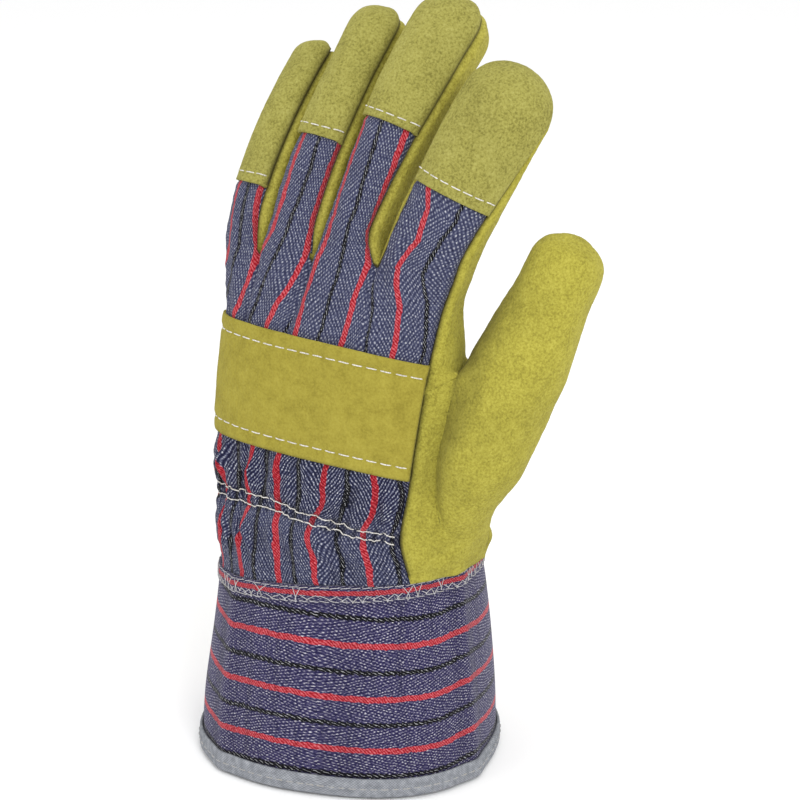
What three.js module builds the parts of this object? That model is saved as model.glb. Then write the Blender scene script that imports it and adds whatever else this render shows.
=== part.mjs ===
// Docker glove for the left hand, filled as if worn: a stiff cuff and a back of striped twill,
// with split leather on the palm, the thumb, the fingertips and across the knuckles.
//
// Millimetres. +X points to the thumb side, +Y to the palm, +Z to the fingertips.
// The origin is the centre of the cuff's mouth, where the hand goes in.
//
// The hand is one skin of patches that share their edges. Each sewn piece takes the faces of
// the skin that bear its name and becomes a wall, drawn back a little from its neighbours.

import * as THREE from 'three';

// walls
const leatherWall = 1.4;
const clothWall = 1.0;
const forkWall = 1.0;        // the side strips are skived thinner than the rest of the leather
const strapWall = 1.3;
const cuffWall = 1.6;
const hemWall = 1.0;
const bandWall = 1.0;
const restingGap = 0.3;      // between a piece and the one it lies on
const seamTrim = 0.25;       // each piece stops this far short of the seam line
const seamTrimInside = 0.6;  // and this far on its inner side, where walls turn towards each other
const forkTrim = 0.5;        // the same for the side strips between the fingers
const forkTrimInside = 1.7;
const clothTrimInside = 0.9;
const leatherLift = 0.2;     // the leather stands this far above the cloth
const capLift = 0.7;         // the fingertip caps are sewn on over the cloth

// heights
const seamHeight = 70;       // where the cuff meets the hand
const seamSlope = 0.1;       // the seam rises towards the thumb
const thumbForkHeight = 138; // where the thumb leaves the hand
const strapLow = 108.5;      // lower edge at the thumb side; the strap rises a little the other way
const strapHigh = 146.5;
const strapLowRise = 1.8;
const strapHighRise = 3.0;
const strapBow = 3.0;        // and is bowed up in the middle
const strapGap = 0.5;        // between the strap and the cloth's facets
const strapInset = 0.012;    // share of the back's width left free at either end of the strap
const hemHeight = 7;
const bandHeight = 5.5;
const crotchDrop = 5;        // the forks lie this much lower on the palm than on the back

// The hand from the cuff's seam to the finger roots, one oval section per height.
// seam, from and to are angles round the section, 0 at the back and 90 at the thumb side:
// where the back cloth ends, and where the leather of the thumb begins and ends.
const handSections = [
  { z: 60,  x: 0.5,  y: 1.0,  halfWidth: 45.0, halfDepth: 31.5, turn: 12, seam: 41, from: 60, to: 117 },
  { z: 70,  x: 0.5,  y: 1.0,  halfWidth: 44.5, halfDepth: 30.5, turn: 12, seam: 41, from: 60, to: 117 },
  { z: 88,  x: 1.7,  y: 0.0,  halfWidth: 47.0, halfDepth: 26.0, turn: 8,  seam: 33, from: 56, to: 116 },
  { z: 106, x: -1.0, y: -0.5, halfWidth: 45.0, halfDepth: 23.8, turn: 4,  seam: 46, from: 64, to: 115 },
  { z: 126, x: -2.0, y: 0.0,  halfWidth: 44.0, halfDepth: 22.0, turn: 0,  seam: 54, from: 72, to: 114 },
  { z: 146, x: -2.0, y: 1.0,  halfWidth: 42.5, halfDepth: 20.0, turn: 0,  seam: 61, from: 78, to: 112 },
  { z: 164, x: -1.0, y: 3.0,  halfWidth: 42.0, halfDepth: 17.6, turn: 0,  seam: 70, from: 84, to: 108 },
  { z: 180, x: 2.5,  y: 6.0,  halfWidth: 45.0, halfDepth: 15.2, turn: 0,  seam: 75, from: 86, to: 106 },
  { z: 205, x: 6.5,  y: 14.0, halfWidth: 50.0, halfDepth: 13.0, turn: 0,  seam: 76, from: 86, to: 106 },
];
const handSquareness = 2.5;
const ulnarSeam = -84;       // angle of the seam on the little finger's side
const palmEdge = 125;        // angle where the palm proper begins

// The cuff flares towards its mouth.
const cuffSections = [
  { z: 0,  x: -1.0, y: 1, halfWidth: 50.4, halfDepth: 41.8, turn: 16 },
  { z: 20, x: -0.7, y: 1, halfWidth: 49.6, halfDepth: 40.0, turn: 15 },
  { z: 45, x: 0, y: 1, halfWidth: 47.0, halfDepth: 36.3, turn: 13 },
  { z: 70, x: 0, y: 1, halfWidth: 44.5, halfDepth: 31.2, turn: 12 },
  { z: 80, x: 0, y: 1, halfWidth: 44.0, halfDepth: 30.5, turn: 12 },
];
const cuffSquareness = 2.4;

// Fingers: x, y and z of the root, length, sideways lean, bend at the root and at the tip,
// half sizes of the oval section, angles of the seams on the back (the inner one turns a little
// towards the tip), and how far along the leather cap starts.
const fingers = [
  { name: 'little', x: -38.9, y: 4.0, z: 171.0, length: 72.2, lean: 5.2, bendRoot: 14, bendTip: 54,
    widthRoot: 9.7, widthTip: 8.5, depthRoot: 11.0, depthTip: 9.2,
    seamOuter: -72, seamInner: 28, seamInnerTip: 40, cap: 19.5 },
  { name: 'ring', x: -19.6, y: 1.4, z: 172.2, length: 86.0, lean: 6.9, bendRoot: 15, bendTip: 49.7,
    widthRoot: 11.0, widthTip: 9.6, depthRoot: 12.0, depthTip: 10.2,
    seamOuter: -68, seamInner: 44, seamInnerTip: 60, cap: 37.0 },
  { name: 'middle', x: 0.2, y: 0.8, z: 173.0, length: 92.4, lean: 12.6, bendRoot: 13, bendTip: 48.9,
    widthRoot: 9.4, widthTip: 12.8, depthRoot: 12.5, depthTip: 11.8,
    seamOuter: -66, seamInner: 51, seamInnerTip: 62, cap: 44.5 },
  { name: 'index', x: 27.9, y: 1.9, z: 175.0, length: 69.8, lean: 18.6, bendRoot: 13, bendTip: 35.5,
    widthRoot: 14.4, widthTip: 15.0, depthRoot: 13.5, depthTip: 12.5,
    seamOuter: -62, seamInner: 62, seamInnerTip: 102, cap: 24.0 },
];
const thumb = { x: 57.0, y: 7.0, z: 139.4, length: 51.2, lean: 19.2, bendRoot: 14.2, bendTip: 17,
  widthRoot: 15.3, widthTip: 11.9, depthRoot: 15.0, depthTip: 11.5 };
const thumbBackCorner = -50; // angle round the thumb where its back meets the fork
const thumbPalmCorner = 230;
const thumbSeam = 128;       // angle of the seam between the thumb's back and front
const digitSquareness = 2.15;

// Shares of the hand's width that belong to the little, ring, middle and index finger.
const backShares = [0, 0.329, 0.493, 0.678, 1];
const palmShares = [0, 0.216, 0.408, 0.579, 0.861];
const forkHeights = [169, 171, 172, 174, 177];

// how far the hand's section and the fingers' sections fade into each other
const blendBelow = 26;
const blendAbove = 14;
const forkReach = 14;        // a fork between fingers opens over this length
const forkOpening = 0.22;    // its walls stand apart by this much of the way up
const forkClearance = 1.3;   // but no more than this where the fingers lie close
const forkRowStep = 4;       // first row of faces above a fork
const thumbForkReach = 4;
const webReach = 6;
const thumbRootHeight = 75;  // the thumb swells out of the hand from here
const thumbFullHeight = 114; // to here

// gathers of the back cloth, drawn in by the elastic at the wrist
const gatherHeight = 91;
const gatherSpread = 11;
const gatherDepth = 2.0;
const gatherFolds = 6;

// faces of the skin
const faceColumns = { back: 8, palm: 5 };
const sideColumns = 2;
const stripColumns = 1;
const thumbBackColumns = 5;
const thumbFrontColumns = 3;
const lowRows = 11;
const highRows = 4;
const digitRowCount = 6;
const tipRowCount = 3;
const cuffColumns = 40;

const lerp = (a, b, t) => a + (b - a) * t;
const clamp = (t) => Math.min(1, Math.max(0, t));
const smooth = (t) => { const c = clamp(t); return c * c * (3 - 2 * c); };
const radians = (degrees) => degrees * Math.PI / 180;
const mix = (p, q, t) => p.clone().lerp(q, t);

// one column of a table at any height, as a smooth curve through its rows
function tableValue(rows, column, z) {
  const last = rows.length - 1;
  if (z <= rows[0].z) return rows[0][column];
  if (z >= rows[last].z) return rows[last][column];
  let i = 0;
  while (rows[i + 1].z < z) i += 1;
  const slope = (k) => {
    const a = rows[Math.max(0, k - 1)];
    const b = rows[Math.min(last, k + 1)];
    return (b[column] - a[column]) / (b.z - a.z);
  };
  const step = rows[i + 1].z - rows[i].z;
  const t = (z - rows[i].z) / step;
  const t2 = t * t;
  const t3 = t2 * t;
  return (2 * t3 - 3 * t2 + 1) * rows[i][column] + (t3 - 2 * t2 + t) * slope(i) * step
    + (3 * t2 - 2 * t3) * rows[i + 1][column] + (t3 - t2) * slope(i + 1) * step;
}

// unit point of a rounded oval, side first, then towards the back
function oval(angle, squareness) {
  const s = Math.sin(radians(angle));
  const c = Math.cos(radians(angle));
  const power = 2 / squareness;
  return [Math.sign(s) * Math.abs(s) ** power, Math.sign(c) * Math.abs(c) ** power];
}

function sectionPoint(table, squareness, angle, z) {
  const [side, back] = oval(angle, squareness);
  const x = tableValue(table, 'halfWidth', z) * side;
  const y = -tableValue(table, 'halfDepth', z) * back;
  const turn = radians(tableValue(table, 'turn', z));
  return new THREE.Vector3(
    tableValue(table, 'x', z) + x * Math.cos(turn) - y * Math.sin(turn),
    tableValue(table, 'y', z) + x * Math.sin(turn) + y * Math.cos(turn), z);
}

// height of a gather fold: share runs across the back cloth from seam to seam
function gather(share, z) {
  if (share <= 0 || share >= 1) return 0;
  const reach = Math.exp(-(((z - gatherHeight) / gatherSpread) ** 2));
  const hem = Math.min(1, share * 12, (1 - share) * 12);
  const wander = 0.5 * Math.sin(z * 0.11 + share * 9);
  return gatherDepth * reach * hem * Math.cos(2 * Math.PI * gatherFolds * share + wander);
}

function handPoint(angle, z) {
  const point = sectionPoint(handSections, handSquareness, angle, z);
  const seam = tableValue(handSections, 'seam', z);
  const lift = gather((angle - ulnarSeam) / (seam - ulnarSeam), z);
  if (lift !== 0) {
    const outward = new THREE.Vector3(point.x / 46, point.y / 27, 0).normalize();
    point.addScaledVector(outward, lift);
  }
  return point;
}

// Point of a finger or the thumb: s along its bent centre line from the root, angle round it.
function digitPoint(digit, s, angle) {
  const bend = radians(digit.bendTip - digit.bendRoot) / digit.length;
  const start = radians(digit.bendRoot);
  const here = start + bend * Math.max(s, 0);
  const along = s > 0 ? (Math.sin(here) - Math.sin(start)) / bend : s * Math.cos(start);
  const over = s > 0 ? (Math.cos(start) - Math.cos(here)) / bend : s * Math.sin(start);
  const lean = radians(digit.lean);
  const up = new THREE.Vector3(Math.sin(lean), 0, Math.cos(lean));
  const side = new THREE.Vector3(Math.cos(lean), 0, -Math.sin(lean));
  const back = up.clone().multiplyScalar(Math.sin(here));
  back.y -= Math.cos(here);
  const grown = smooth(1.3 * s / digit.length);
  const width = lerp(digit.widthRoot, digit.widthTip, grown);
  const depth = lerp(digit.depthRoot, digit.depthTip, grown);
  const domed = clamp((s - domeStart(digit)) / (digit.length - domeStart(digit)));
  const shrink = Math.sqrt(1 - domed ** 2.3);
  const [u, v] = oval(angle, digitSquareness);
  return new THREE.Vector3(digit.x, digit.y + over, digit.z)
    .addScaledVector(up, along)
    .addScaledVector(side, width * shrink * u)
    .addScaledVector(back, depth * shrink * v);
}

function domeStart(digit) {
  return digit.length - 0.98 * digit.widthTip;
}

// distances along a digit: even up to the dome of its tip, then closer towards the pole
function digitRows(digit, edge) {
  const start = domeStart(digit);
  const rows = [];
  for (let i = 0; i < digitRowCount; i += 1) rows.push(start * i / digitRowCount);
  for (let i = 0; i <= tipRowCount; i += 1) {
    rows.push(start + (digit.length - start) * Math.sin(Math.PI / 2 * i / tipRowCount));
  }
  if (edge === undefined) return rows;
  const clear = rows.filter((s) => Math.abs(s - edge) > 3.5);
  return [...clear, forkRowStep, edge].sort((a, b) => a - b);
}

// angle of a column of the hand: share runs across finger k from its little-finger side
function handAngle(face, k, share, z) {
  if (face === 'back') {
    const across = lerp(backShares[k], backShares[k + 1], share);
    return lerp(ulnarSeam, tableValue(handSections, 'seam', z), across);
  }
  const p = 3 - k;
  return lerp(palmEdge, 360 + ulnarSeam, lerp(palmShares[p], palmShares[p + 1], 1 - share));
}

const ulnarPalmEdge = lerp(palmEdge, 360 + ulnarSeam, palmShares[4]) - 360;

function rootHeight(face, k, share) {
  return lerp(forkHeights[k], forkHeights[k + 1], share) - (face === 'back' ? 0 : crotchDrop);
}

// angles of a finger's two seams on the back at distance s
function seamAngles(finger, s) {
  return [finger.seamOuter, lerp(finger.seamInner, finger.seamInnerTip, smooth(s / finger.length))];
}

function fingerAngle(finger, face, share, s) {
  const [outer, inner] = seamAngles(finger, s);
  return face === 'back' ? lerp(outer, inner, share) : lerp(180 - outer, 180 - finger.seamInner, share);
}

const fork = (s, reach) => (1 - clamp(s / reach)) ** 2;
const blend = (s) => smooth((s + blendBelow) / (blendBelow + blendAbove));

// back and palm of the fingers, running on down over the hand where s is negative
function fingerSkin(face, k, share, s) {
  const finger = fingers[k];
  const z = rootHeight(face, k, share) + s;
  const onHand = handPoint(handAngle(face, k, share, z), z);
  const weight = blend(s);
  if (weight === 0) return onHand;
  const onFinger = digitPoint(finger, s, fingerAngle(finger, face, share, s));
  const open = fork(s, forkReach);
  if (open > 0) {
    const edgeOf = (n, edge) => digitPoint(fingers[n], s, fingerAngle(fingers[n], face, edge, s));
    if (k > 0) {
      const pull = edgeOf(k - 1, 1).sub(edgeOf(k, 0)).multiplyScalar(0.5);
      onFinger.addScaledVector(pull, (1 - share) ** 2 * open);
    }
    if (k < 3) {
      const pull = edgeOf(k + 1, 0).sub(edgeOf(k, 1)).multiplyScalar(0.5);
      onFinger.addScaledVector(pull, share ** 2 * open);
    }
  }
  return onHand.lerp(onFinger, weight);
}

// the back of the hand by share of its width from seam to seam, and height
function backSkin(share, z) {
  const k = Math.max(0, backShares.findLastIndex((start, n) => n < fingers.length && start <= share));
  const within = (share - backShares[k]) / (backShares[k + 1] - backShares[k]);
  return fingerSkin('back', k, within, z - rootHeight('back', k, within));
}

// one of the two walls between neighbouring fingers: share runs from the back seam to the palm seam
function forkWallSkin(k, inner, share, s) {
  const finger = fingers[k];
  const edge = inner ? 1 : 0;
  const turn = inner ? 0 : -360;
  const angleBack = fingerAngle(finger, 'back', edge, s);
  const anglePalm = fingerAngle(finger, 'palm', edge, s) + turn;
  const seamBack = fingerSkin('back', k, edge, s);
  const seamPalm = fingerSkin('palm', k, edge, s);
  const offBack = seamBack.clone().sub(digitPoint(finger, s, angleBack));
  const offPalm = seamPalm.clone().sub(digitPoint(finger, s, anglePalm));
  const wall = digitPoint(finger, s, lerp(angleBack, anglePalm, share)).add(mix(offBack, offPalm, share));
  return wall.lerp(mix(seamBack, seamPalm, share), fork(s, forkReach));
}

// the same wall, pressed back where it would touch the wall that faces it
function forkSkin(k, inner, share, s) {
  const own = forkWallSkin(k, inner, share, s);
  const facing = forkWallSkin(inner ? k + 1 : k - 1, !inner, share, s);
  const apart = inner ? facing.x - own.x : own.x - facing.x;
  const short = Math.max(0, Math.min(forkOpening * s, forkClearance) - apart);
  own.x += (inner ? -0.5 : 0.5) * short;
  return own;
}

// free side of the index finger (k 3) and of the little finger (k 0)
function sideRootHeight(k, share) {
  const edge = k === 3 ? 1 : 0;
  return lerp(rootHeight('back', k, edge), rootHeight('palm', k, edge), share);
}

function sideSkin(k, share, s) {
  const finger = fingers[k];
  const z = sideRootHeight(k, share) + s;
  const [outer, inner] = seamAngles(finger, s);
  const from = k === 3 ? tableValue(handSections, 'seam', z) : ulnarSeam;
  const to = k === 3 ? palmEdge : ulnarPalmEdge;
  const onHand = handPoint(lerp(from, to, share), z);
  const angle = k === 3 ? lerp(inner, 180 - finger.seamInner, share) : lerp(outer, -180 - outer, share);
  return onHand.lerp(digitPoint(finger, s, angle), blend(s));
}

// the thumb: share runs round it from its corner on the back to its corner on the palm
const cornerWeight = (share) => 0.5 + 0.5 * smooth(Math.min(share, 1 - share) / 0.18);

function thumbSkin(share, s) {
  const z = thumbForkHeight + s * (s < 0 ? Math.cos(radians(thumb.lean)) : 1);
  const from = tableValue(handSections, 'from', z);
  const to = tableValue(handSections, 'to', z);
  const swell = smooth((z - thumbRootHeight) / (thumbFullHeight - thumbRootHeight));
  const corner = 1 - (1 - cornerWeight(share)) * fork(s, thumbForkReach);
  const onThumb = digitPoint(thumb, s, lerp(thumbBackCorner, thumbPalmCorner, share));
  return handPoint(lerp(from, to, share), z).lerp(onThumb, s < 0 ? swell * corner : corner);
}

const thumbBelow = (z) => (z - thumbForkHeight) / Math.cos(radians(thumb.lean));

function thumbForkSkin(share, s) {
  const back = thumbSkin(0, s);
  const palm = thumbSkin(1, s);
  const palmCorner = thumbPalmCorner - 360;
  const offBack = back.clone().sub(digitPoint(thumb, s, thumbBackCorner));
  const offPalm = palm.clone().sub(digitPoint(thumb, s, palmCorner));
  const wall = digitPoint(thumb, s, lerp(thumbBackCorner, palmCorner, share));
  return wall.add(mix(offBack, offPalm, share)).lerp(mix(back, palm, share), fork(s, thumbForkReach));
}

// the narrow strips of the hand on either side of the thumb's root
function besideThumb(face, share, z) {
  const back = face === 'back';
  const seam = tableValue(handSections, back ? 'seam' : 'to', z);
  const edge = back ? tableValue(handSections, 'from', z) : palmEdge;
  const corner = thumbSkin(back ? 0 : 1, thumbBelow(z));
  const drawn = corner.sub(handPoint(back ? edge : seam, z));
  return handPoint(lerp(seam, edge, share), z).addScaledVector(drawn, smooth(back ? share : 1 - share));
}

// radial side of the hand above the thumb: a strip, the thumb's fork and a strip
const forkFrom = 0.3;
const forkTo = 0.7;

function forkRow(share) {
  if (share <= forkFrom) return besideThumb('back', share / forkFrom, thumbForkHeight);
  if (share >= forkTo) return besideThumb('palm', (share - forkTo) / (1 - forkTo), thumbForkHeight);
  return mix(thumbSkin(0, 0), thumbSkin(1, 0), (share - forkFrom) / (forkTo - forkFrom));
}

function radialSkin(share, s) {
  const point = sideSkin(3, share, s);
  const root = sideRootHeight(3, share);
  const above = clamp((root + s - thumbForkHeight) / webReach);
  if (above >= 1) return point;
  const deep = 2 * cornerWeight(clamp((share - forkFrom) / (forkTo - forkFrom))) - 1;
  const keep = lerp(1 - smooth(above), (1 - above) ** 2, deep);
  const shift = forkRow(share).sub(sideSkin(3, share, thumbForkHeight - root));
  return point.addScaledVector(shift, keep);
}

// the skin: a list of faces, each with the name of its piece and four corners
const faces = [];

function addPatch(piece, rows, columns, pointAt, flipped = false) {
  const grid = [];
  for (let r = 0; r <= rows; r += 1) {
    const row = [];
    for (let c = 0; c <= columns; c += 1) row.push(pointAt(r, c));
    grid.push(row);
  }
  for (let r = 0; r < rows; r += 1) {
    for (let c = 0; c < columns; c += 1) {
      const corners = [grid[r][c], grid[r][c + 1], grid[r + 1][c + 1], grid[r + 1][c]];
      if (flipped) corners.reverse();
      faces.push({ piece: typeof piece === 'function' ? piece(r, c) : piece, corners });
    }
  }
}

// height of the cuff's seam at an angle of the hand's section
const seamAt = (angle) => seamHeight + seamSlope * handPoint(angle, seamHeight).x;
const lowHeight = (angle, r) => lerp(seamAt(angle), thumbForkHeight, r / lowRows);

const frontPieces = ['palm', 'ring_front', 'middle_front', 'palm'];
const forkPieces = ['fourchette_little_ring', 'fourchette_ring_middle', 'fourchette_middle_index'];

// columns of the radial side above the thumb, as shares
const radialColumns = [];
for (let i = 0; i < stripColumns; i += 1) radialColumns.push(forkFrom * i / stripColumns);
for (let i = 0; i < sideColumns; i += 1) radialColumns.push(lerp(forkFrom, forkTo, i / sideColumns));
for (let i = 0; i <= stripColumns; i += 1) radialColumns.push(lerp(forkTo, 1, i / stripColumns));

function addHand() {
  for (let k = 0; k < 4; k += 1) {
    for (const face of ['back', 'palm']) {
      const piece = face === 'back' ? 'back_cloth' : 'palm';
      const columns = faceColumns[face];
      const low = (r, c) => {
        const share = c / columns;
        const z = lowHeight(handAngle(face, k, share, seamHeight), r);
        return fingerSkin(face, k, share, z - rootHeight(face, k, share));
      };
      const high = (r, c) => {
        const share = c / columns;
        const root = rootHeight(face, k, share);
        return fingerSkin(face, k, share, lerp(thumbForkHeight, root, r / highRows) - root);
      };
      addPatch(piece, lowRows, columns, low, face === 'palm');
      addPatch(piece, highRows, columns, high, face === 'palm');
    }
  }
  // little finger's side of the hand
  const ulnar = (height) => (r, c) => {
    const share = c / sideColumns;
    return sideSkin(0, share, height(r, share) - sideRootHeight(0, share));
  };
  const ulnarLow = (r, share) => lowHeight(lerp(ulnarSeam, ulnarPalmEdge, share), r);
  const ulnarHigh = (r, share) => lerp(thumbForkHeight, sideRootHeight(0, share), r / highRows);
  addPatch('palm', lowRows, sideColumns, ulnar(ulnarLow), true);
  addPatch('palm', highRows, sideColumns, ulnar(ulnarHigh), true);
  // thumb side, above the fork
  addPatch('palm', highRows, radialColumns.length - 1, (r, c) => {
    const share = radialColumns[c];
    const root = sideRootHeight(3, share);
    return radialSkin(share, lerp(thumbForkHeight, root, r / highRows) - root);
  });
}

function addThumb() {
  const angleAt = (column) => tableValue(handSections, column, seamHeight);
  addPatch('thumb_back', lowRows, stripColumns, (r, c) => {
    const share = c / stripColumns;
    return besideThumb('back', share, lowHeight(lerp(angleAt('seam'), angleAt('from'), share), r));
  });
  addPatch('palm', lowRows, stripColumns, (r, c) => {
    const share = c / stripColumns;
    return besideThumb('palm', share, lowHeight(lerp(angleAt('to'), palmEdge, share), r));
  });
  const seamShare = (thumbSeam - thumbBackCorner) / (thumbPalmCorner - thumbBackCorner);
  const rows = digitRows(thumb);
  const halves = [
    { piece: 'thumb_back', columns: thumbBackColumns, from: 0, to: seamShare },
    { piece: 'thumb_front', columns: thumbFrontColumns, from: seamShare, to: 1 },
  ];
  for (const half of halves) {
    const shareAt = (c) => lerp(half.from, half.to, c / half.columns);
    addPatch(half.piece, lowRows, half.columns, (r, c) => {
      const angle = lerp(angleAt('from'), angleAt('to'), shareAt(c));
      return thumbSkin(shareAt(c), thumbBelow(lowHeight(angle, r)));
    });
    addPatch(half.piece, rows.length - 1, half.columns, (r, c) => thumbSkin(shareAt(c), rows[r]));
  }
  const nearBack = (r, c) => (c < sideColumns / 2 ? 'thumb_back' : 'thumb_front');
  addPatch(nearBack, rows.length - 1, sideColumns, (r, c) => thumbForkSkin(c / sideColumns, rows[r]), true);
}

function addFingers() {
  fingers.forEach((finger, k) => {
    const rows = digitRows(finger, finger.cap);
    const count = rows.length - 1;
    const capRow = rows.indexOf(finger.cap);
    const cap = `${finger.name}_cap`;
    const along = (face) => (r, c) => fingerSkin(face, k, c / faceColumns[face], rows[r]);
    addPatch((r) => (r < capRow ? 'back_cloth' : cap), count, faceColumns.back, along('back'));
    addPatch(frontPieces[k], count, faceColumns.palm, along('palm'), true);
    if (k > 0) {
      const outer = (r, c) => forkSkin(k, false, c / sideColumns, rows[r]);
      addPatch(forkPieces[k - 1], count, sideColumns, outer, true);
    } else {
      addPatch('palm', count, sideColumns, (r, c) => sideSkin(0, c / sideColumns, rows[r]), true);
    }
    if (k < 3) {
      const inner = (r, c) => forkSkin(k, true, c / sideColumns, rows[r]);
      addPatch(forkPieces[k], count, sideColumns, inner);
    } else {
      addPatch('palm', count, radialColumns.length - 1, (r, c) => radialSkin(radialColumns[c], rows[r]));
    }
  });
}

// Corners that meet become one vertex, with the mean normal of all the faces round it.
function weldSkin() {
  const vertices = [];
  const found = new Map();
  const indexOf = (point) => {
    const key = [point.x, point.y, point.z].map((value) => Math.round(value * 100)).join(' ');
    if (!found.has(key)) {
      found.set(key, vertices.length);
      vertices.push({ point, normal: new THREE.Vector3(), pieces: new Set() });
    }
    return found.get(key);
  };
  for (const face of faces) {
    face.index = face.corners.map(indexOf);
    const [a, b, c, d] = face.corners;
    const normal = c.clone().sub(a).cross(d.clone().sub(b));
    for (const i of new Set(face.index)) {
      vertices[i].normal.add(normal);
      vertices[i].pieces.add(face.piece);
    }
  }
  for (const vertex of vertices) vertex.normal.normalize();
  return vertices;
}

// triangles of a face, without those that have no area at a fingertip's pole
function trianglesOf(index) {
  const [a, b, c, d] = index;
  return [[a, b, c], [a, c, d]].filter(([i, j, k]) => i !== j && j !== k && k !== i);
}

function geometryFrom(positions, triangles) {
  const geometry = new THREE.BufferGeometry();
  geometry.setAttribute('position', new THREE.Float32BufferAttribute(positions, 3));
  geometry.setIndex(triangles.flat());
  return geometry;
}

// the open edges of some triangles, each running with the triangles on its left
function openEdges(triangles) {
  const edges = new Map();
  for (const [a, b, c] of triangles) {
    for (const [i, j] of [[a, b], [b, c], [c, a]]) {
      if (!edges.delete(`${j} ${i}`)) edges.set(`${i} ${j}`, [i, j]);
    }
  }
  return [...edges.values()];
}

// For each vertex of the open edges, the step that draws both its edges back by one unit.
function stepsInward(vertices, edges) {
  const sums = new Map();
  for (const [i, j] of edges) {
    const along = vertices[j].point.clone().sub(vertices[i].point).normalize();
    for (const end of [i, j]) {
      if (!sums.has(end)) sums.set(end, new THREE.Vector3());
      sums.get(end).add(vertices[end].normal.clone().cross(along).normalize());
    }
  }
  for (const sum of sums.values()) sum.multiplyScalar(2 / Math.max(0.25, sum.lengthSq()));
  return sums;
}

// The vertices of a strip's fold, where its faces turn back on themselves, with their way out
// and the next vertex along the fold.
function foldsOf(own) {
  const found = new Map();
  for (const { index, corners: [a, b, c, d] } of own) {
    const normal = c.clone().sub(a).cross(d.clone().sub(b)).normalize();
    index.forEach((i, n) => {
      if (!found.has(i)) found.set(i, { out: new THREE.Vector3(), count: 0, near: new Set() });
      const { out, near } = found.get(i);
      out.add(normal);
      found.get(i).count += 1;
      near.add(index[(n + 1) % 4]).add(index[(n + 3) % 4]);
    });
  }
  const folds = new Map([...found].filter(([, { out, count }]) => out.length() < 0.5 * count));
  for (const fold of folds.values()) {
    fold.out.normalize();
    fold.next = [...fold.near].find((i) => folds.has(i));
  }
  return folds;
}

// A wall over the named faces: its outer side lifted by lift, closed along its trimmed edges.
function wallSolid(vertices, piece, lift, wall, trim = seamTrim, trimInside = seamTrimInside) {
  const own = faces.filter((face) => face.piece === piece);
  const triangles = own.flatMap((face) => trianglesOf(face.index));
  const edges = openEdges(triangles);
  const steps = stepsInward(vertices, edges);
  const folds = foldsOf(own);
  for (const [i, { next }] of folds) {
    if (!steps.has(i) || next === undefined) continue;
    steps.set(i, vertices[next].point.clone().sub(vertices[i].point).normalize());
  }
  const number = new Map();
  const outer = [];
  const inner = [];
  const still = new THREE.Vector3();
  for (const i of new Set(triangles.flat())) {
    const { point } = vertices[i];
    const normal = folds.get(i)?.out ?? vertices[i].normal;
    const step = steps.get(i) ?? still;
    const corner = (drawn, height) => point.clone()
      .addScaledVector(step, drawn).addScaledVector(normal, height).toArray();
    number.set(i, number.size);
    outer.push(...corner(trim, lift));
    inner.push(...corner(trimInside, lift - wall));
  }
  const count = number.size;
  const all = [];
  for (const triangle of triangles) {
    const [a, b, c] = triangle.map((i) => number.get(i));
    all.push([a, b, c], [c + count, b + count, a + count]);
  }
  for (const [i, j] of edges) {
    const a = number.get(i);
    const b = number.get(j);
    all.push([b, a, a + count], [b, a + count, b + count]);
  }
  return geometryFrom([...outer, ...inner], all);
}

// the strap follows the back cloth from seam to seam, lying on it
function strapSolid() {
  const shares = [0];
  for (let k = 0; k < fingers.length; k += 1) {
    for (let c = 1; c <= faceColumns.back; c += 1) {
      shares.push(lerp(backShares[k], backShares[k + 1], c / faceColumns.back));
    }
  }
  const columns = shares.length - 1;
  const rows = 4;
  const surface = (r, c, offset) => {
    const share = Math.min(1 - strapInset, Math.max(strapInset, shares[c]));
    const low = strapLow + strapLowRise * (1 - share);
    const high = strapHigh + strapHighRise * (1 - share);
    const z = lerp(low, high, r / rows) + strapBow * Math.sin(Math.PI * share);
    const across = backSkin(share + 0.008, z).sub(backSkin(share - 0.008, z));
    const along = backSkin(share, z + 1).sub(backSkin(share, z - 1));
    return backSkin(share, z).addScaledVector(across.cross(along).normalize(), offset);
  };
  const positions = [];
  for (const offset of [strapGap + strapWall, strapGap]) {
    for (let r = 0; r <= rows; r += 1) {
      for (let c = 0; c <= columns; c += 1) positions.push(...surface(r, c, offset).toArray());
    }
  }
  const layer = (rows + 1) * (columns + 1);
  const at = (r, c) => r * (columns + 1) + c;
  const triangles = [];
  const quad = (a, b, c, d) => triangles.push([a, b, c], [a, c, d]);
  for (let r = 0; r < rows; r += 1) {
    for (let c = 0; c < columns; c += 1) {
      const corners = [at(r, c), at(r, c + 1), at(r + 1, c + 1), at(r + 1, c)];
      quad(...corners);
      quad(...corners.map((i) => i + layer).reverse());
    }
  }
  for (let c = 0; c < columns; c += 1) {
    quad(at(0, c + 1), at(0, c), at(0, c) + layer, at(0, c + 1) + layer);
    quad(at(rows, c), at(rows, c + 1), at(rows, c + 1) + layer, at(rows, c) + layer);
  }
  for (let r = 0; r < rows; r += 1) {
    quad(at(r, 0), at(r + 1, 0), at(r + 1, 0) + layer, at(r, 0) + layer);
    quad(at(r + 1, columns), at(r, columns), at(r, columns) + layer, at(r + 1, columns) + layer);
  }
  return geometryFrom(positions, triangles);
}

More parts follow.
